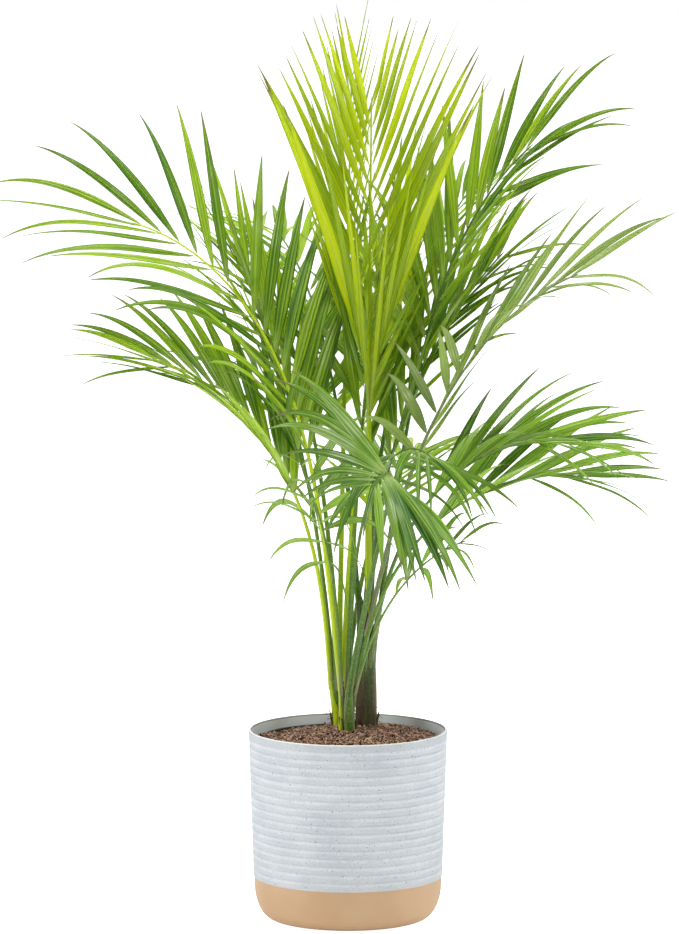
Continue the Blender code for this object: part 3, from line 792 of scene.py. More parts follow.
# ------------------------------------------------------------------------ fronds
LEAFLET_ROWS = 24
ACROSS = (-1.0, -0.66, -0.33, 0.0, 0.33, 0.66, 1.0, 0.66, 0.33, 0.0, -0.33, -0.66)
UPPER_COLUMNS = 6             # columns up to this one are the upper side
ROW_SPREAD = 0.94             # below 1, a leaflet's rows are closer together at its tip
TWIST = 26                    # most that a leaflet turns towards its tip, in degrees
THREAD = 0.00022              # half width of a leaflet's tip
FOLD_FOOT = 1.55              # how much steeper the fold is at a leaflet's foot
FOLD_FADE = 1.25              # how much less steep it is from three quarters out
FOLD_LINE = 0.45              # part of the fold's depth that lies above the centre line
PLEAT = 0.06                  # depth of the pleats, to half the width
RIPPLE = 0.05                 # height of the margin's waves, to half the width
RIPPLE_LENGTH = 0.018         # length over which a wave turns by one radian
SHADE_SPREAD = 0.40           # how much leaflets of one frond differ in shade
SLIM_SHADE = 0.25             # how much darker its slim leaflets are
SUNLIT_SHADE = 0.85           # shade of a stalk that stands in the light
STALK_SIDES = 12
STALK_ROWS = 72


def through_points(points, share):
    """A smooth curve through evenly spaced points, at a share of its length."""
    last = len(points) - 1
    position = clamp(share) * last
    index = min(int(position), last - 1)
    part = position - index
    before = points[max(index - 1, 0)]
    start, end = points[index], points[index + 1]
    after = points[min(index + 2, last)]
    square, cube = part * part, part ** 3
    return 0.5 * ((2.0 * start) + (end - before) * part
                  + (2.0 * before - 5.0 * start + 4.0 * end - after) * square
                  + (3.0 * start - before - 3.0 * end + after) * cube)


def blade_width(share):
    """Width along a leaflet, as a share of its widest: a lance with a long point."""
    rise = 0.24 + 0.76 * math.sin(clamp(share / 0.34) * math.pi / 2.0)
    fall = clamp((share - 0.30) / 0.70)
    return rise * (1.0 - fall ** 1.45) ** 0.95


def add_leaflet(bm, rows, width, side, settings, luck, shade):
    """One folded blade with raised midrib and pleats, closed at both ends."""
    points = [row[0] for row in rows]
    widths = [row[1] for row in rows]
    twist = math.radians(luck.uniform(-TWIST, TWIST))
    dryness = luck.uniform(0.0, 1.0) ** 2
    tip = luck.uniform(0.88, 0.97)
    wave = luck.uniform(0, math.tau)
    length = sum((b - a).length for a, b in zip(points, points[1:]))
    thick = settings.leaf_thickness / 2.0

    def ring_at(row):
        share = (row / LEAFLET_ROWS) ** ROW_SPREAD
        point = through_points(points, share)
        ahead = through_points(points, min(share + 0.01, 1.0))
        behind = through_points(points, max(share - 0.01, 0.0))
        heading = (ahead - behind).normalized()
        spread = through_points(widths, share)
        spread = Matrix.Rotation(twist * share ** 1.5, 3, heading) @ spread
        spread = (spread - heading * spread.dot(heading)).normalized()
        upper = heading.cross(spread) * side
        half = max(width / 2.0 * blade_width(share), THREAD)
        steepness = FOLD_FOOT - FOLD_FADE * ease(0.0, 0.75, share)
        fold = math.radians(settings.leaf_fold) * steepness
        pleat = PLEAT * half * ease(0.02, 0.2, share) * (1.0 - ease(0.75, 1.0, share))
        ripple = RIPPLE * half * math.sin(wave + share * length / RIPPLE_LENGTH)
        ring = []
        for column, across in enumerate(ACROSS):
            aside = abs(across)
            drop = (aside - FOLD_LINE) * half * math.sin(fold)
            crest = pleat * (-1.0 if aside == 0.33 else 1.0 if aside == 0.66 else 0.0)
            body = thick * (0.45 + 0.55 * (1.0 - aside)) if aside < 1.0 else 0.0
            if column <= UPPER_COLUMNS:
                lift = body
            else:
                keel = 1.0 + 1.8 * (1.0 - share) if aside == 0.0 else 1.0
                lift = -body * keel
            ring.append(point + spread * (across * half * math.cos(fold))
                        + upper * (lift - drop + crest + ripple * aside))
        return point, ring

    def tint(column, row):
        share = row / LEAFLET_ROWS
        parched = ease(tip - 0.05, tip, share) * (0.55 + 0.45 * dryness)
        pale = 1.0 - ease(0.0, 0.16, share)
        under = 1.0 if column > UPPER_COLUMNS else 0.0
        return shade, pale * 0.8, parched, under

    def across(column):
        if column <= UPPER_COLUMNS:
            return column / UPPER_COLUMNS
        return 2.0 - column / UPPER_COLUMNS

    sleeve(bm, LEAFLET_ROWS, ring_at, tint, across)


def stalk_share(row):
    """Rows are closer together at the foot, where the stalk flares."""
    return (row / STALK_ROWS) ** 1.15


def stalk_half(spine, share):
    """Half width of the finished stalk: stout at its foot, slender among the leaflets."""
    stout = spine.design["stout"]
    return spine.radius(share) * (1.0 + (stout - 1.0) * (1.0 - ease(0.2, 0.8, share)))


def is_sunlit(design):
    """True for a full-grown frond whose stalk is as bright as a young one's."""
    return design["stalk"] == SUNLIT_STALK != design["slot"]


def add_stalk(bm, spine, shade):
    """Stalk and rachis: grooved above and keeled below."""
    def ring_at(row):
        share = stalk_share(row)
        along, across, upper = spine.frame(share)
        radius = stalk_half(spine, share)
        leafy = spine.blade_share(share)
        centre = spine.point(share)
        ring = []
        for column in range(STALK_SIDES):
            angle = math.tau * column / STALK_SIDES
            top = max(0.0, math.cos(angle))
            groove = 1.0 - 0.42 * top ** 3 * (1.0 - 0.6 * leafy)
            keel = 1.0 + 0.12 * max(0.0, -math.cos(angle)) ** 4
            ring.append(centre + across * (math.sin(angle) * radius)
                        + upper * (math.cos(angle) * radius * 0.86 * groove * keel))
        return centre + along * (0.001 if row else 0.0), ring

    def tint(column, row):
        height = stalk_share(row) * spine.design["length"]
        edge = abs(math.sin(math.tau * column / STALK_SIDES)) ** 6
        margin = edge * (1.0 - ease(0.0, 0.05, height)) * 0.8
        return shade, margin, 0.0, 0.0

    sleeve(bm, STALK_ROWS, ring_at, tint, material=1)


def build_frond(spine, leaflets, number, settings):
    """One leaf: its stalk and rachis with every leaflet."""
    design = spine.design
    luck = random.Random(settings.seed + number)
    bm = new_bmesh()
    frond_shade = luck.uniform(*design["shade"])
    for (pair, side), (rows, width) in leaflets.items():
        shade = frond_shade + luck.uniform(-SHADE_SPREAD, SHADE_SPREAD)
        if pair < len(design["slim"]):
            width *= design["slim"][pair]
            shade -= SLIM_SHADE
        add_leaflet(bm, rows, width, side, settings, luck, clamp(shade))
    add_stalk(bm, spine, SUNLIT_SHADE if is_sunlit(design) else frond_shade)
    made = plant_materials()
    finish_piece(bm, design["name"].replace("frond", "leaf"),
                 [made["blade_" + design["blade"]], made["stalk_" + design["stalk"]]],
                 design["slot"], design["name"])


# ------------------------------------------------------------------------- stems
CANE_SIDES = 20
CANE_ROWS = 30
CANE_FOOT_PLACE = 0.55        # how far out a cane leaves the soil, to its place at the top
CANE_ROOT = 0.008             # how far under the soil it starts
CANE_PULL = 0.35              # how far its curve keeps its first and last direction
HUSKS = 7                     # dead sheaths round a stem's foot
HUSK_SIDES = 12
HUSK_ROWS = 18
FIBRES = 26                   # loose fibres on a stem
CORE_SIDES = 20
CORE_ROWS = 20
TRUNK = "frond_crown"         # its sheath wraps the stem at the back on the right
# The blunt old sheath in front of it: foot, top above the stem's, and width.
TRUNK_HUSK = ((-0.0100, -0.0050, -0.004), (-0.0090, -0.0115, 0.060), 0.0130)


def curve_point(start, start_way, end, end_way, share):
    """A point on a smooth curve that leaves start and reaches end in the given ways."""
    rest = 1.0 - share
    first, second = start + start_way, end - end_way
    return (start * rest ** 3 + first * (3 * rest * rest * share)
            + second * (3 * rest * share * share) + end * share ** 3)


def add_cane(bm, spine, stem, luck):
    """The sheathing foot of one stalk, from the soil up round the stem to the stalk."""
    design = spine.design
    middle = Vector((*stem["place"], 0.0))
    seat = spine.points[0]
    aside = Vector((seat.x, seat.y, 0.0)) - middle
    trunk = design["name"] == TRUNK
    top_share = design["rise"] / design["length"]
    top = spine.point(top_share)
    base = middle + aside * CANE_FOOT_PLACE + Vector((*design["shift"], 0.0))
    base.z = soil_height(base.xy.length) - CANE_ROOT
    way = (top - seat).normalized()
    tall = (top - base).length
    outward = aside.normalized() if aside.length > 1e-4 else Vector((0.0, -1.0, 0.0))
    sunlit = is_sunlit(design)
    shade = 0.9 if sunlit else luck.uniform(0.25, 0.6)
    bulge = luck.uniform(0, math.tau)
    foot_half = design["cane"]
    top_half = stalk_half(spine, top_share) * 1.03
    pull = Vector((0, 0, tall * CANE_PULL))
    reach = way * (tall * CANE_PULL)

    def ring_at(row):
        share = row / CANE_ROWS
        centre = curve_point(base, pull, top, reach, share)
        ahead = curve_point(base, pull, top, reach, min(share + 0.02, 1.0))
        behind = curve_point(base, pull, top, reach, max(share - 0.02, 0.0))
        along = (ahead - behind).normalized()
        across = along.cross(outward).normalized()
        front = across.cross(along)
        wide = foot_half + (top_half - foot_half) * ease(0.15, 1.0, share)
        deep = wide * (0.80 - 0.05 * share)
        return centre, oval(centre, across, front, CANE_SIDES, wide, deep, lambda _, angle: (
            1.0 + 0.03 * math.sin(3 * angle + bulge + share * 4)))

    def tint(column, row):
        share = row / CANE_ROWS
        edge = abs(math.sin(math.tau * column / CANE_SIDES)) ** (9 if trunk else 4)
        patchy = patches(column * 0.9, share * 6.0, bulge)
        margin = 0.0 if sunlit else edge * (0.7 + 0.3 * patchy)
        if not trunk:
            margin *= 0.4
        brown = (1.0 - ease(0.02, 0.13, share)) * (0.1 + 0.8 * patchy)
        if trunk:
            low = 1.0 - ease(0.10, 0.40, share)
            brown = max(brown, 0.14 + 0.28 * patchy + 0.28 * low)
        fade = 1.0 - ease(0.7, 1.0, share)
        return (shade - (0.25 if trunk else 0.0), clamp(margin * fade),
                clamp(brown * (0.6 if sunlit else 1.0)), 0.0)

    sleeve(bm, CANE_ROWS, ring_at, tint, material=1 if sunlit else 0)


def add_husk(bm, foot, top, width, luck, blunt=0.8):
    """A dead leaf sheath standing against the stem, pointed or blunt at its top."""
    lean = top - foot
    across = lean.cross(Vector((0.2, -1.0, 0.0))).normalized()
    front = across.cross(lean).normalized() * -1.0
    seed = luck.uniform(0, 50)

    def ring_at(row):
        share = row / HUSK_ROWS
        half = width / 2.0 * (1.0 - share ** (4.0 * blunt)) ** (1.0 - 0.5 * blunt)
        centre = foot + lean * share + front * (0.12 * width * share * share)
        return centre, oval(
            centre, across, front, HUSK_SIDES, half, half * 0.4, lambda column, _: (
            1.0 + 0.12 * noise.noise(Vector((column, share * 9, seed)))))

    def tint(column, row):
        patchy = patches(column * 1.7, row * 0.8, seed)
        if blunt > 0.9:
            low = 1.0 - ease(0.2, 0.6, row / HUSK_ROWS)
            return 0.1, 0.0, clamp(0.10 + 0.25 * patchy + 0.55 * low), 0.0
        return 0.2, 0.25 * patchy, 0.6 + 0.4 * patchy, 0.0

    sleeve(bm, HUSK_ROWS, ring_at, tint)


def add_fibre(bm, points, radius, shade, sides=3):
    """A thin fibre or straw through a few points, pointed at both ends."""
    rows = 3 * (len(points) - 1)

    def ring_at(row):
        share = row / rows
        centre = through_points(points, share)
        way = (through_points(points, min(share + 0.05, 1.0))
               - through_points(points, max(share - 0.05, 0.0))).normalized()
        across = way.orthogonal().normalized()
        front = way.cross(across)
        thin = radius * (1.0 - 0.6 * abs(2 * share - 1) ** 2)
        return centre, oval(centre, front, across, sides, thin, thin)

    sleeve(bm, rows, ring_at, lambda column, row: shade)


def add_core(bm, points, radius, luck):
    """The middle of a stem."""
    seed = luck.uniform(0, 50)

    def ring_at(row):
        share = row / CORE_ROWS
        centre = through_points(points, share)
        thin = radius * (1.0 - 0.35 * ease(0.85, 1.0, share))
        return centre, oval(
            centre, Vector((0, 1, 0)), Vector((1, 0, 0)), CORE_SIDES, thin, thin,
            lambda _, angle: 1.0 + 0.10 * noise.noise(Vector((
                math.cos(angle) * 2, math.sin(angle) * 2, share * 3 + seed))))

    def tint(column, row):
        patchy = patches(column * 0.8, row * 0.35, seed)
        return 0.25, 0.35 * patchy, 0.45 + 0.5 * patchy * (1.0 - row / CORE_ROWS), 0.0

    sleeve(bm, CORE_ROWS, ring_at, tint)


def random_way(luck):
    """A level direction."""
    angle = luck.uniform(0, math.tau)
    return Vector((math.cos(angle), math.sin(angle), 0))


def build_stem(key, stem, spines, settings):
    """A stem: the sheathing feet of its stalks, dead husks and fibres at its foot."""
    luck = random.Random(settings.seed * 7 + len(key))
    bm = new_bmesh()
    foot = stem_foot(stem)
    for spine in spines:
        if spine.design["stem"] == key:
            add_cane(bm, spine, stem, luck)
    height = stem["height"]
    core = [foot + Vector((0, 0, rise)) for rise in (-0.006, height * 0.5, height + 0.002)]
    add_core(bm, core, stem["top"] * 0.62, luck)
    for _ in range(HUSKS):
        out = random_way(luck)
        low = foot + out * stem["foot"] * 0.70 + Vector((0, 0, -0.003))
        high = foot + out * (stem["foot"] * luck.uniform(0.85, 1.15))
        high.z += luck.uniform(0.006, 0.022)
        add_husk(bm, low, high, luck.uniform(0.0020, 0.0045), luck)
    if key == "rear_right":
        low, high, width = TRUNK_HUSK
        high = Vector(high) + Vector((0, 0, height))
        add_husk(bm, foot + Vector(low), foot + high, width, luck, blunt=1.0)
    for _ in range(FIBRES):
        out = random_way(luck)
        start = foot + out * stem["foot"] * luck.uniform(0.8, 1.05)
        start.z += luck.uniform(0.0, 0.03)
        way = out * luck.uniform(0.002, 0.009) + Vector((0, 0, luck.uniform(-0.004, 0.014)))
        bend = Vector((luck.uniform(-1, 1), luck.uniform(-1, 1), 0)) * 0.004
        points = [start, start + way * 0.5 + bend, start + way + Vector((0, 0, -0.004))]
        add_fibre(bm, points, luck.uniform(0.0002, 0.0006),
                  (0.4, luck.uniform(0.0, 0.9), 1.0, 0.0))
    made = plant_materials()
    finish_piece(bm, "stem_" + key + "_sheaths", [made["stalk_leaf"], made["stalk_young_leaf"]],
                 "stem", "stem_" + key, sharp=40.0)


# -------------------------------------------------------------------------- soil
SOIL_SIDES = 120
SOIL_RINGS = 44
LUMPS = ((70.0, 0.0020), (210.0, 0.0018))     # how close together lumps are, and how high
CRUMB_SIZES = (0.0006, 0.0018)
LARGE_CRUMBS = 0.18           # share of crumbs that are large
LARGER = 1.7                  # how much larger they are
RIM_CRUMB_SIZES = (0.0006, 0.0014)
FIBRE_LENGTHS = (0.004, 0.013)
FIBRE_RADII = (0.0002, 0.0005)
FIBRE_LIFTS = (0.0003, 0.0016)
STRAW_RADIUS = 0.0007
STRAW = colour(226, 192, 146)
SOIL_FLECK = colour(222, 188, 166)
# Colour of the painted shade in the gaps between crumbs.
SOIL_GAP_SHADE = colour(34, 22, 16)
# Straws on the soil: X, Y, turn in degrees and length.
STRAWS = ((0.024, -0.058, 70, 0.020), (0.029, -0.066, 120, 0.013), (0.034, -0.052, 20, 0.010),
          (-0.035, -0.030, 150, 0.014), (0.060, -0.020, -20, 0.016),
          (-0.010, -0.075, 5, 0.012), (-0.020, 0.082, 40, 0.018), (0.050, 0.070, 100, 0.014))


def heap(x, y):
    """Share of soil heaped to the growing pot's rim: none at the back on the left."""
    angle = math.degrees(math.atan2(y, x))
    bare = ease(95.0, 112.0, angle) * ease(172.0, 150.0, angle)
    return 1.0 - bare


def ground(x, y):
    """Height of the lumpy soil at a place."""
    place = Vector((x, y, 0.0))
    radius = math.hypot(x, y)
    lumps = sum(noise.noise(place * scale) * size for scale, size in LUMPS)
    bank = heap(x, y) * ease(0.072, 0.106, radius) * (NURSERY_TOP - SOIL_EDGE + 0.0008)
    return soil_height(radius) + bank + lumps


def clear_of_stems(x, y, room):
    """True where no stem stands."""
    return all(math.hypot(x - stem["place"][0], y - stem["place"][1]) > stem["foot"] + room
               for stem in STEMS.values())


def random_place(luck, reach):
    """A place on a disc, spread evenly."""
    radius = reach * math.sqrt(luck.random())
    angle = luck.uniform(0, math.tau)
    return radius * math.cos(angle), radius * math.sin(angle)


def add_crumb(bm, size, place, tone):
    """One crumb of soil."""
    shade = bm.verts.layers.float_color["tint"]
    made = bmesh.ops.create_icosphere(bm, subdivisions=1, radius=size, matrix=place)
    for vertex in made["verts"]:
        vertex[shade] = (tone, 0.0, 0.0, 0.0)


def add_soil_body(bm, luck):
    """Root ball with a lumpy dome on top."""
    shade = bm.verts.layers.float_color["tint"]
    foot = FLOOR + NURSERY_WALL + 2 * GAP
    edge = soil_radius(SOIL_EDGE)
    outline = [(0.0, foot), (soil_radius(foot) - 0.005, foot),
               (soil_radius(foot + 0.004), foot + 0.004), (edge, SOIL_EDGE - 0.002)]
    outline += [(edge * (1 - ring / SOIL_RINGS), SOIL_EDGE) for ring in range(SOIL_RINGS)]
    outline.append((0.0, SOIL_EDGE))
    turned(bm, outline, SOIL_SIDES)
    for vertex in bm.verts:
        if vertex.co.z >= SOIL_EDGE - 1e-4:
            rim = ease(1.02, 0.96, vertex.co.xy.length / edge)
            height = ground(vertex.co.x, vertex.co.y)
            vertex.co.z = SOIL_EDGE + (height - SOIL_EDGE) * max(rim, 0.3)
        vertex[shade] = (luck.uniform(0.2, 0.6), 0.0, 0.0, 0.0)


def build_soil(settings):
    """Root ball with crumbs, bark chips, fibres and a few straws on it."""
    luck = random.Random(settings.seed + 3)
    bm = new_bmesh()
    add_soil_body(bm, luck)
    reach = soil_radius(SOIL_EDGE) - 0.003
    for _ in range(settings.crumbs):
        x, y = random_place(luck, reach)
        if not clear_of_stems(x, y, -0.002):
            continue
        size = luck.uniform(*CRUMB_SIZES) * (LARGER if luck.random() < LARGE_CRUMBS else 1.0)
        squash = Matrix.Diagonal((luck.uniform(0.7, 1.6), luck.uniform(0.6, 1.1),
                                  luck.uniform(0.4, 0.9), 1.0))
        turn = Matrix.Rotation(luck.uniform(0, math.tau), 4, "Z") @ Matrix.Rotation(
            luck.uniform(-0.6, 0.6), 4, "X")
        place = Matrix.Translation((x, y, ground(x, y) + size * 0.25)) @ turn @ squash
        add_crumb(bm, size, place, luck.uniform(0.0, 1.0))
    for _ in range(settings.fibres):
        x, y = random_place(luck, reach * 0.97)
        if not clear_of_stems(x, y, 0.0):
            continue
        way = Matrix.Rotation(luck.uniform(0, math.tau), 3, "Z") @ Vector((1, 0, 0))
        length = luck.uniform(*FIBRE_LENGTHS)
        points = []
        for step in (-1.0, -0.3, 0.3, 1.0):
            spot = Vector((x, y, 0)) + way * (length / 2 * step)
            spot += way.cross(Vector((0, 0, 1))) * luck.uniform(-0.0015, 0.0015)
            if spot.length > reach:
                spot = spot.normalized() * reach
            spot.z = ground(spot.x, spot.y) + luck.uniform(*FIBRE_LIFTS)
            points.append(spot)
        add_fibre(bm, points, luck.uniform(*FIBRE_RADII),
                  (luck.uniform(0.2, 1.0), luck.uniform(0.0, 0.8) ** 1.5, 0.0, 0.0))
    # Crumbs that lie on the growing pot's rim.
    for _ in range(settings.crumbs // 8):
        angle = luck.uniform(0, math.tau)
        size = luck.uniform(*RIM_CRUMB_SIZES)
        radius = luck.uniform(NURSERY_RIM_RADIUS - 0.004, NURSERY_RIM_RADIUS + 0.0003)
        x, y = radius * math.cos(angle), radius * math.sin(angle)
        if luck.random() > heap(x, y):
            continue
        place = Matrix.Translation((x, y, NURSERY_TOP + size * 0.95))
        add_crumb(bm, size, place, luck.uniform(0.0, 1.0))
    for x, y, turn, length in STRAWS:
        way = Matrix.Rotation(math.radians(turn), 3, "Z") @ Vector((1, 0, 0))
        points = []
        for step in (-1.0, -0.2, 0.45, 1.0):
            spot = Vector((x, y, 0)) + way * (length / 2 * step)
            spot.z = ground(spot.x, spot.y) + 0.0012 + 0.0025 * (1 - step * step)
            points.append(spot)
        add_fibre(bm, points, STRAW_RADIUS, (1.0, 1.0, 0.0, 0.0), sides=5)
    finish_piece(bm, "soil_surface", [soil_material(settings)], "soil", "potting_soil",
                 sharp=60.0, merge=1e-7)


def soil_material(settings):
    """Damp coir and bark: dark to reddish brown crumbs, paler where there is fibre, with painted
    shade in the gaps between crumbs.
    """
    soil = Surface("potting_mix")
    tone, straw, _, _ = soil.tint()
    place = soil.object_place()
    cloud, fine = soil.grain(place, 60.0, 900.0)
    clod = soil.noise(soil.stretch(place, (260.0, 330.0, 260.0)), 1.0, 3.0, 0.65)
    mix = soil.plus(soil.times(tone, 0.85), soil.step(clod, 0.40, 0.60, -0.4, 0.60))
    mix = soil.plus(mix, soil.step(fine, 0.3, 0.7, -0.2, 0.2))
    mix = soil.plus(mix, soil.centred(cloud), limit=True)
    brown = soil.blend(mix, tinted(settings.soil_colour, 0.07, 0.07, 0.08),
                       tinted(settings.soil_colour, 1.75, 2.05, 2.15))
    chips = soil.noise(soil.stretch(place, (300.0, 460.0, 300.0), (3.0, 0.0, 7.0)), 1.0, 2.0)
    brown = soil.blend(soil.step(chips, 0.54, 0.61, 0.0, 0.95), brown, SOIL_FLECK)
    # Painted shade: near-black patches painted where the gaps between crumbs would be shaded.
    brown = soil.blend(soil.step(chips, 0.47, 0.38, 0.0, 0.90), brown, SOIL_GAP_SHADE)
    brown = soil.blend(soil.times(straw, 0.85), brown, STRAW)
    soil.finish(brown, soil.step(fine, 0.2, 0.8, 0.75, 0.95), fine, 0.6, 0.0008, 0.25)
    return soil.material


# ----------------------------------------------------------------------- planter
PLANTER_SIDES = 192
FOOT_HEIGHT = 0.046           # where the wall starts to round in to the foot
LOWER_RADIUS = 0.1204         # outside radius of the wall there
FOOT_STEPS = 16
INNER_ROUND = 0.006           # rounding between the inside and the floor
# Heights of the inner wall's rings, from the rim down to the rounding.
INNER_HEIGHTS = (0.2407, 0.234, 0.187, 0.130, 0.074, FOOT_HEIGHT, 0.036, 0.028, 0.021, 0.016)
RIB_LOW = 0.0550              # foot of the lowest rib
RIB_HIGH = 0.2343             # top of the highest rib
RIB_STEPS = 11
LEDGE = 0.19                  # share of a rib that is its upper ledge
DRIFT = 0.0006                # how far a rib wanders up and down
SWELL = 0.22                  # how much its height varies along its length
# Unevenness of the wall: how close together round it and up it, and how deep.
UNEVEN = ((9.0, 260, 0.00012), (26.0, 620, 0.00008))
# White of the pale sand grains and of the painted highlights on the rib crests.
WHITE_GRAIN_AND_HIGHLIGHT = colour(238, 241, 244)
# Colour of the painted highlight along the lip's crown.
LIP_HIGHLIGHT = colour(252, 248, 246)
CLAY_FLECK = colour(176, 140, 104)
# Colour of the painted shade along the foot's bottom edge.
CLAY_FOOT_SHADE = colour(150, 118, 86)
INSIDE_DARK = colour(226, 231, 234)
INSIDE_LIGHT = colour(240, 244, 248)
RIM_SHADOW = colour(112, 116, 114)
# Scale, size, share of cells, strength and colour of each kind of speck.
SPECKS = ((520.0, 0.28, 0.34, 0.60, colour(120, 126, 134)),
          (260.0, 0.20, 0.30, 0.85, colour(92, 96, 104)),
          (150.0, 0.15, 0.16, 0.85, colour(88, 88, 90)))


def wall_radius(height):
    """Outside radius of the planter's wall at a height."""
    share = (height - FOOT_HEIGHT) / (PLANTER_HEIGHT - FOOT_HEIGHT)
    return LOWER_RADIUS + (RIM_RADIUS - LOWER_RADIUS) * share


def outer_radius(height):
    """Outside radius of the planter, with its rounded foot."""
    reach = wall_radius(FOOT_HEIGHT) - BASE_RADIUS
    if height < FOOT_HEIGHT:
        return BASE_RADIUS + reach * math.sqrt(1.0 - (1.0 - height / FOOT_HEIGHT) ** 2)
    return wall_radius(height)


def planter_outline(settings, pitch):
    """Points (radius, height) from the middle of the base, over the rim, to the floor."""
    line = settings.band_height
    coat = settings.glaze_thickness
    outline = [(0.0, 0.0), (BASE_RADIUS * 0.5, 0.0)]
    for step in range(FOOT_STEPS + 1):
        height = FOOT_HEIGHT * (1.0 - math.cos(math.pi / 2.0 * step / FOOT_STEPS))
        outline.append((outer_radius(height) - coat * step / FOOT_STEPS, height))
    outline += [(wall_radius(line) - coat, line - 0.0002), (wall_radius(line), line + 0.0004)]
    for step in range(settings.ribs * RIB_STEPS + 1):
        height = RIB_LOW + pitch * step / RIB_STEPS
        outline.append((wall_radius(height), height))
    lip = WALL / 2.0
    outline += arc((RIM_RADIUS - lip, PLANTER_HEIGHT - lip), lip, 0, 180, 10)
    outline += [(outer_radius(height) - WALL, height) for height in INNER_HEIGHTS]
    turn = FLOOR + INNER_ROUND
    outline += arc((outer_radius(turn) - WALL - INNER_ROUND, turn), INNER_ROUND, 0, -90, 6)
    return outline + [(0.0, FLOOR)]


def rib_push(place, pitch, settings):
    """How far the thrown ribs stand out at a place, and how near it is to a crest."""
    around = place.xy.normalized().to_3d() * 3.0
    height = place.z
    line = settings.band_height
    # Ribs drift a little up and down and swell and fade along their length.
    drift = noise.noise(around * 0.8 + Vector((0, 0, height * 25))) * DRIFT
    number, part = divmod((height + drift - RIB_LOW) / pitch, 1.0)
    swell = 1.0 + SWELL * noise.noise(around * 1.3 + Vector((0, 0, number * 3.7)))
    ends = ease(RIB_LOW - 0.001, RIB_LOW + 0.003, height)
    ends *= ease(RIB_HIGH + 0.003, RIB_HIGH - 0.001, height)
    if part < 1.0 - LEDGE:
        rib = 1.0 - (1.0 - part / (1.0 - LEDGE)) ** 2
    else:
        rib = (1.0 - part) / LEDGE
    rough = sum(noise.noise(around * wide + Vector((0, 0, height * tall))) * depth
                for wide, tall, depth in UNEVEN)
    push = settings.rib_relief * (rib - 0.5) * swell * ends + rough
    push *= ease(line, line + 0.003, height) * ease(PLANTER_HEIGHT, PLANTER_HEIGHT - 0.006, height)
    return push, clamp(rib * swell * ends)


def build_planter(settings):
    """The planter: dipped base band, thrown ribs, rounded rim and smooth inside."""
    bm = new_bmesh()
    pitch = (RIB_HIGH - RIB_LOW) / settings.ribs
    turned(bm, planter_outline(settings, pitch), PLANTER_SIDES)
    shade = bm.verts.layers.float_color["tint"]
    line = settings.band_height
    lip = WALL / 2.0
    for vertex in bm.verts:
        radius, height = vertex.co.xy.length, vertex.co.z
        edge = height > PLANTER_HEIGHT - lip and radius < RIM_RADIUS - lip * 1.05
        # Painted highlight: the lip's crown is marked to be painted white.
        painted_highlight = ease(PLANTER_HEIGHT - 0.0012, PLANTER_HEIGHT - 0.0004, height)
        vertex[shade] = (0.5, 1.0, 0.0, 0.0) if edge else (0.5, 0.0, painted_highlight, 0.0)
        if height >= line and radius >= outer_radius(height) - 0.002:
            push, crest = rib_push(vertex.co, pitch, settings)
            vertex.co += vertex.co.xy.normalized().to_3d() * push
            # The crest share is kept for the painted highlights and painted shade of the ribs.
            vertex[shade] = (crest, 0.0, painted_highlight, 0.0)
    for face in bm.faces:
        middle = face.calc_center_median()
        inside = (middle.xy.length < outer_radius(middle.z) - WALL * 0.5
                  and middle.z > FLOOR * 0.8)
        face.material_index = 2 if inside else int(middle.z < line)
    finish_piece(bm, "planter_body", [glaze_material(settings), clay_material(settings),
                                      inner_material()], "planter", "planter", sharp=38.0)


def glaze_material(settings):
    """Pale matte glaze: soft clouds, a sandy grain, scattered dark specks, painted highlights on
    the rib crests and the lip, and painted shade in the rib hollows.
    """
    glaze = Surface("speckled_glaze")
    place = glaze.object_place()
    cloud, fine = glaze.grain(place, 22.0, 800.0)
    cool = tinted(settings.glaze_colour, 0.86, 0.88, 0.90)
    face = glaze.blend(glaze.step(cloud, 0.3, 0.7), cool, [*settings.glaze_colour, 1.0])
    crest, _, lip, _ = glaze.tint()
    banded = glaze.noise(glaze.stretch(place, (70.0, 70.0, 380.0)), 1.0, 3.0, 0.6)
    # Painted highlight: white painted along the rib crests, in broken bands.
    painted_highlight = glaze.times(glaze.step(crest, 0.72, 0.98), glaze.step(banded, 0.3, 0.62, 0.14, 0.24))
    face = glaze.blend(painted_highlight, face, WHITE_GRAIN_AND_HIGHLIGHT)
    # Painted shade: a cooler, darker glaze tone painted in the rib hollows.
    hollow_shade = glaze.times(glaze.step(crest, 0.7, 0.0), glaze.step(cloud, 0.3, 0.6, 0.10, 0.25))
    face = glaze.blend(hollow_shade, face, cool)
    sand = glaze.noise(place, 620.0, 2.0, 0.7)
    face = glaze.blend(glaze.step(sand, 0.52, 0.68, 0.0, 0.45), face, cool)
    face = glaze.blend(glaze.step(sand, 0.46, 0.34, 0.0, 0.22), face, WHITE_GRAIN_AND_HIGHLIGHT)
    for scale, size, share, depth, tone in SPECKS:
        cells = glaze.add("ShaderNodeTexVoronoi", None, {"Vector": place, "Scale": scale})
        spot = glaze.step(cells.outputs["Distance"], size, size * 0.55)
        chosen = glaze.maths("LESS_THAN", glaze.add(
            "ShaderNodeSeparateColor", 0, {"Color": cells.outputs["Color"]}), share)
        face = glaze.blend(glaze.times(glaze.times(spot, chosen), depth), face, tone)
    # Painted highlight: white painted along the lip's crown.
    face = glaze.blend(glaze.times(lip, 0.8), face, LIP_HIGHLIGHT)
    glaze.finish(face, glaze.step(fine, 0.2, 0.8, 0.5, 0.68), glaze.plus(fine, banded),
                 0.35, 0.0005, 0.35)
    return glaze.material


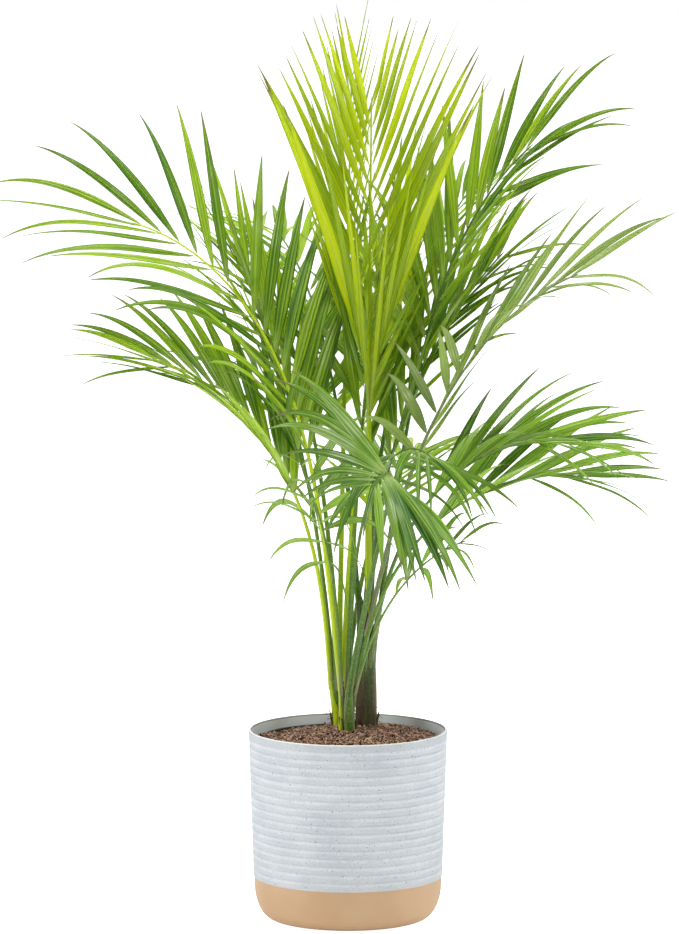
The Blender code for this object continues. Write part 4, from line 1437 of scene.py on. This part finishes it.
def clay_material(settings):
    """Bare tan clay of the dipped base, nearly smooth, with painted shade darkening the foot's
    bottom edge.
    """
    clay = Surface("tan_clay")
    place = clay.object_place()
    cloud, fine = clay.grain(place, 14.0, 1100.0)
    face = clay.blend(clay.step(cloud, 0.3, 0.7), tinted(settings.clay_colour, 0.92, 0.88, 0.84),
                      [*settings.clay_colour, 1.0])
    face = clay.blend(clay.step(fine, 0.62, 0.8, 0.0, 0.25), face, CLAY_FLECK)
    # Painted shade: the clay darkens over its lowest few millimetres, at the foot's edge.
    level = clay.add("ShaderNodeSeparateXYZ", 2, {0: place})
    face = clay.blend(clay.step(level, 0.0045, 0.0, 0.0, 0.7), face, CLAY_FOOT_SHADE)
    clay.finish(face, clay.step(fine, 0.2, 0.8, 0.46, 0.58), fine, 0.15, 0.0003, 0.35)
    return clay.material


def inner_material():
    """Smooth grey inside of the planter, shaded under the rim's edge."""
    inside = Surface("planter_inside")
    cloud, fine = inside.grain(inside.object_place(), 18.0, 900.0)
    _, edge, _, _ = inside.tint()
    face = inside.blend(cloud, INSIDE_DARK, INSIDE_LIGHT)
    face = inside.blend(inside.times(edge, 0.8), face, RIM_SHADOW)
    inside.finish(face, inside.step(fine, 0.2, 0.8, 0.5, 0.65), fine, 0.15, 0.0003)
    return inside.material


# ------------------------------------------------------------------- nursery pot
NURSERY_SIDES = 96
# Radii of the floor's rings: one on each side of the drain holes and one through them.
FLOOR_RINGS = (0.0, 0.02, 0.04, DRAIN_RING - DRAIN_RADIUS, DRAIN_RING,
               DRAIN_RING + DRAIN_RADIUS, 0.075)
WALL_HEIGHTS = (0.05, 0.10, 0.15)


def nursery_outline():
    """Points (radius, height) from under the floor, over the lip, to the floor inside."""
    foot = FLOOR + GAP
    lip = NURSERY_TOP - NURSERY_LIP_DEPTH
    floor = foot + NURSERY_WALL
    outline = [(radius, foot) for radius in FLOOR_RINGS]
    outline += [(NURSERY_FOOT_RADIUS - 0.003, foot), (NURSERY_FOOT_RADIUS, foot + 0.003)]
    outline += [(nursery_radius(height), height) for height in WALL_HEIGHTS]
    outline += [(nursery_radius(lip - EDGE), lip - EDGE),
                (NURSERY_RIM_RADIUS + NURSERY_LIP, lip)]
    roll = (NURSERY_LIP + NURSERY_WALL) / 2.0
    outline += arc((NURSERY_RIM_RADIUS + NURSERY_LIP - roll, NURSERY_TOP - roll), roll, 0, 180, 8)
    outline += [(nursery_radius(height) - NURSERY_WALL, height)
                for height in WALL_HEIGHTS[::-1] + (foot + 0.004,)]
    outline.append((nursery_radius(floor) - NURSERY_WALL - 0.003, floor))
    return outline + [(radius, floor) for radius in reversed(FLOOR_RINGS)]


def drain_centre(number):
    """Middle of one of the drain holes."""
    angle = math.tau * (number + 0.5) / DRAIN_COUNT
    return Vector((DRAIN_RING * math.cos(angle), DRAIN_RING * math.sin(angle)))


def build_nursery_pot():
    """Thin black growing pot with a rolled lip and drain holes."""
    bm = new_bmesh()
    turned(bm, nursery_outline(), NURSERY_SIDES)
    openings = []
    for number in range(DRAIN_COUNT):
        for face in bm.faces:
            middle = face.calc_center_median()
            if (middle.z < FLOOR + GAP + NURSERY_WALL + 1e-4
                    and (middle.xy - drain_centre(number)).length < DRAIN_RADIUS):
                openings.append(face)
    bmesh.ops.delete(bm, geom=openings, context="FACES")
    # The ragged holes are drawn to circles and joined through the floor.
    rims = [edge for edge in bm.edges if edge.is_boundary]
    for vertex in {vertex for edge in rims for vertex in edge.verts}:
        angle = math.atan2(vertex.co.y, vertex.co.x)
        centre = drain_centre(math.floor(angle / math.tau * DRAIN_COUNT))
        place = centre + (vertex.co.xy - centre).normalized() * DRAIN_RADIUS
        vertex.co.x, vertex.co.y = place
    bmesh.ops.bridge_loops(bm, edges=rims)
    finish_piece(bm, "growing_pot", [black_plastic()], "nursery_pot", "nursery_pot", sharp=35.0)


def black_plastic():
    """Moulded black plastic with a fine grain and dusty bloom."""
    pot = Surface("black_plastic")
    cloud, fine = pot.grain(pot.object_place(), 30.0, 1500.0)
    face = pot.blend(pot.step(cloud, 0.45, 0.8), colour(22, 22, 23), colour(44, 42, 39))
    pot.finish(face, pot.step(cloud, 0.3, 0.8, 0.38, 0.6), fine, 0.2, 0.0002)
    return pot.material


# ------------------------------------------------------------------------- stage
EYE = (-0.0108, -8.0, 1.60)   # where the camera stands
AIM_HEIGHT = 0.58             # height that it looks at
LENS = 244.75                 # its focal length, in millimetres
LIT_HEIGHT = 0.6              # height that the softboxes face
WHITE = (1.0, 1.0, 1.0, 1.0)
# Softboxes: name, place, side length, and power as a share of the main one's.
SOFTBOXES = (("left_softbox", (-3.2, -1.4, 2.2), 1.4, 1.0),
             ("right_softbox", (3.4, -1.0, 2.0), 1.4, 0.75),
             ("top_softbox", (0.2, -0.2, 3.6), 1.6, 1.5),
             ("back_softbox", (1.0, 3.2, 2.2), 1.4, 0.6))


def face_point(item, place, target):
    """Put a lamp or the camera at a place, facing a point."""
    item.location = place
    item.rotation_mode = "QUATERNION"
    item.rotation_quaternion = (Vector(target) - Vector(place)).to_track_quat("-Z", "Y")


def build_stage(settings):
    """White floor, softboxes all round, pale surroundings and the camera."""
    scene = bpy.context.scene
    scene.view_settings.view_transform = "Standard"
    bm = bmesh.new()
    bmesh.ops.create_grid(bm, x_segments=1, y_segments=1, size=20.0)
    mesh = bpy.data.meshes.new("studio_floor")
    bm.to_mesh(mesh)
    bm.free()
    floor = add_object("studio_floor", mesh)
    paint = Surface("studio_floor")
    for key, value in (("Base Color", (*settings.floor_colour, 1.0)), ("Roughness", 0.9),
                       ("Emission Color", WHITE)):
        paint.shader.inputs[key].default_value = value
    seen = paint.add("ShaderNodeLightPath", "Is Camera Ray")
    glow = paint.step(seen, 0.0, 1.0, settings.floor_glow, settings.floor_glow + 0.5)
    paint.tree.links.new(glow, paint.shader.inputs["Emission Strength"])
    mesh.materials.append(paint.material)

    scene.world = studio_air(settings)
    for name, place, size, power in SOFTBOXES:
        box = bpy.data.lights.new(name, "AREA")
        box.shape = "SQUARE"
        box.size = size
        box.energy = settings.light_power * power
        face_point(add_object(name, box), place, (0.0, 0.0, LIT_HEIGHT))

    lens = bpy.data.cameras.new("camera")
    lens.lens = LENS
    scene.camera = add_object("camera", lens)
    face_point(scene.camera, EYE, (EYE[0], 0.0, AIM_HEIGHT))


def studio_air(settings):
    """Pale surroundings: white behind the plant, dimmer overhead and behind the camera."""
    world = bpy.data.worlds.new("studio_air")
    world.use_nodes = True
    sky = Sheet(world.node_tree)
    way = sky.add("ShaderNodeSeparateXYZ", None, {0: sky.add("ShaderNodeTexCoord", "Generated")})
    toward = sky.step(sky.times(way.outputs[1], -1.0), 0.1, 0.95, 1.0, settings.front_air)
    above = sky.step(way.outputs[2], 0.2, 0.85, 1.0, settings.top_air)
    path = sky.add("ShaderNodeLightPath", None)
    cast = sky.step(path.outputs["Is Camera Ray"], 0.0, 1.0, settings.side_air, 1.0)
    shine = sky.step(path.outputs["Is Glossy Ray"], 0.0, 1.0, 1.0, settings.shine_air)
    strength = sky.times(sky.times(toward, above), sky.times(cast, shine))
    background = world.node_tree.nodes["Background"].inputs
    background["Color"].default_value = WHITE
    sky.tree.links.new(strength, background["Strength"])
    return world


# ------------------------------------------------------------------ settings and panel
def length_setting(name, description, default):
    """A length that the panel shows."""
    return FloatProperty(name=name, description=description, default=default, unit="LENGTH")


def colour_setting(name, description, *default):
    """A colour that the panel shows."""
    return FloatVectorProperty(name=name, description=description, default=default[:3],
                               subtype="COLOR")


def light_setting(name, description, default):
    """A share of brightness that the panel shows."""
    return FloatProperty(name=name, description=description, default=default)


class PlanterSettings(bpy.types.PropertyGroup):
    """Sizes and colours of the planter."""

    ribs: IntProperty(name="Ribs", description="Number of ribs on the wall", default=17, min=1)
    rib_relief: length_setting("Rib relief", "How far the ribs stand out", 0.0006)
    band_height: length_setting("Base band", "Height of the bare base band", 0.054)
    glaze_thickness: length_setting("Glaze", "Thickness of the glaze's edge", 0.0007)
    glaze_colour: colour_setting("Glaze colour", "Colour of the glaze", *colour(187, 191, 195))
    clay_colour: colour_setting("Base colour", "Colour of the base band", *colour(191, 159, 124))


class PlantSettings(bpy.types.PropertyGroup):
    """Shape of the leaves and of the soil."""

    seed: IntProperty(name="Seed", description="Which leaf variation is drawn", default=11)
    leaf_thickness: length_setting("Leaf thickness", "Thickness of a leaflet", 0.0006)
    leaf_fold: FloatProperty(name="Leaf fold", default=24.0,
                             description="Slope of a leaflet's two halves, in degrees")
    crumbs: IntProperty(name="Crumbs", description="Loose crumbs on the soil", default=2800)
    fibres: IntProperty(name="Fibres", description="Coir fibres on the soil", default=900)
    soil_colour: colour_setting("Soil colour", "Colour of the soil", *colour(124, 82, 66))


class StageSettings(bpy.types.PropertyGroup):
    """Floor and light."""

    light_power: FloatProperty(name="Light power", description="Power of the main softbox",
                               default=60.0, unit="POWER")
    front_air: light_setting("Front air", "Surroundings behind the camera", 0.24)
    top_air: light_setting("Top air", "Surroundings overhead", 0.80)
    side_air: light_setting("Side air", "Surroundings at the sides", 0.77)
    shine_air: light_setting("Shine air", "Surroundings as glossy faces mirror them", 0.35)
    floor_glow: light_setting("Floor glow", "How much the floor shines of itself", 0.36)
    floor_colour: colour_setting("Floor colour", "Colour of the floor", 0.92, 0.92, 0.92)


class PALM_OT_planter(bpy.types.Operator):
    """Build the ribbed planter"""

    bl_idname = "palm.planter"
    bl_label = "Planter"

    def execute(self, context):
        build_planter(context.scene.palm_planter)
        return {"FINISHED"}


class PALM_OT_nursery_pot(bpy.types.Operator):
    """Build the growing pot inside the planter"""

    bl_idname = "palm.nursery_pot"
    bl_label = "Growing pot"

    def execute(self, context):
        build_nursery_pot()
        return {"FINISHED"}


class PALM_OT_soil(bpy.types.Operator):
    """Build the root ball and its crumbly surface"""

    bl_idname = "palm.soil"
    bl_label = "Soil"

    def execute(self, context):
        build_soil(context.scene.palm_plant)
        return {"FINISHED"}


class PALM_OT_plants(bpy.types.Operator):
    """Build the stems and the fronds of the three palms"""

    bl_idname = "palm.plants"
    bl_label = "Stems and fronds"

    def execute(self, context):
        settings = context.scene.palm_plant
        plants = lay_out()
        spines = [spine for spine, _ in plants]
        for key, stem in STEMS.items():
            build_stem(key, stem, spines, settings)
        for number, (spine, leaflets) in enumerate(plants):
            build_frond(spine, leaflets, number, settings)
        return {"FINISHED"}


class PALM_OT_stage(bpy.types.Operator):
    """Set up the floor, the lights and the camera"""

    bl_idname = "palm.stage"
    bl_label = "Stage"

    def execute(self, context):
        build_stage(context.scene.palm_stage)
        return {"FINISHED"}


OPERATORS = (PALM_OT_planter, PALM_OT_nursery_pot, PALM_OT_soil, PALM_OT_plants, PALM_OT_stage)
SETTINGS = {"palm_planter": PlanterSettings, "palm_plant": PlantSettings,
            "palm_stage": StageSettings}


class PALM_PT_panel(bpy.types.Panel):
    """Lists the pieces and their settings"""

    bl_label = "Potted palm"
    bl_idname = "PALM_PT_panel"
    bl_space_type = "VIEW_3D"
    bl_region_type = "UI"
    bl_category = "Palm"

    def draw(self, context):
        for name, group in SETTINGS.items():
            box = self.layout.box()
            for key in group.__annotations__:
                box.prop(getattr(context.scene, name), key)
        for operator in OPERATORS:
            self.layout.operator(operator.bl_idname)


def register():
    """Add the classes and their settings to Blender."""
    for item in (*SETTINGS.values(), *OPERATORS, PALM_PT_panel):
        bpy.utils.register_class(item)
    for name, group in SETTINGS.items():
        setattr(bpy.types.Scene, name, PointerProperty(type=group))


def unregister():
    """Remove them again."""
    for name in SETTINGS:
        delattr(bpy.types.Scene, name)
    for item in (PALM_PT_panel, *OPERATORS, *SETTINGS.values()):
        bpy.utils.unregister_class(item)


def main():
    """Build every piece and the stage."""
    register()
    for operator in OPERATORS:
        group, action = operator.bl_idname.split(".")
        getattr(getattr(bpy.ops, group), action)()


if __name__ == "__main__":
    main()
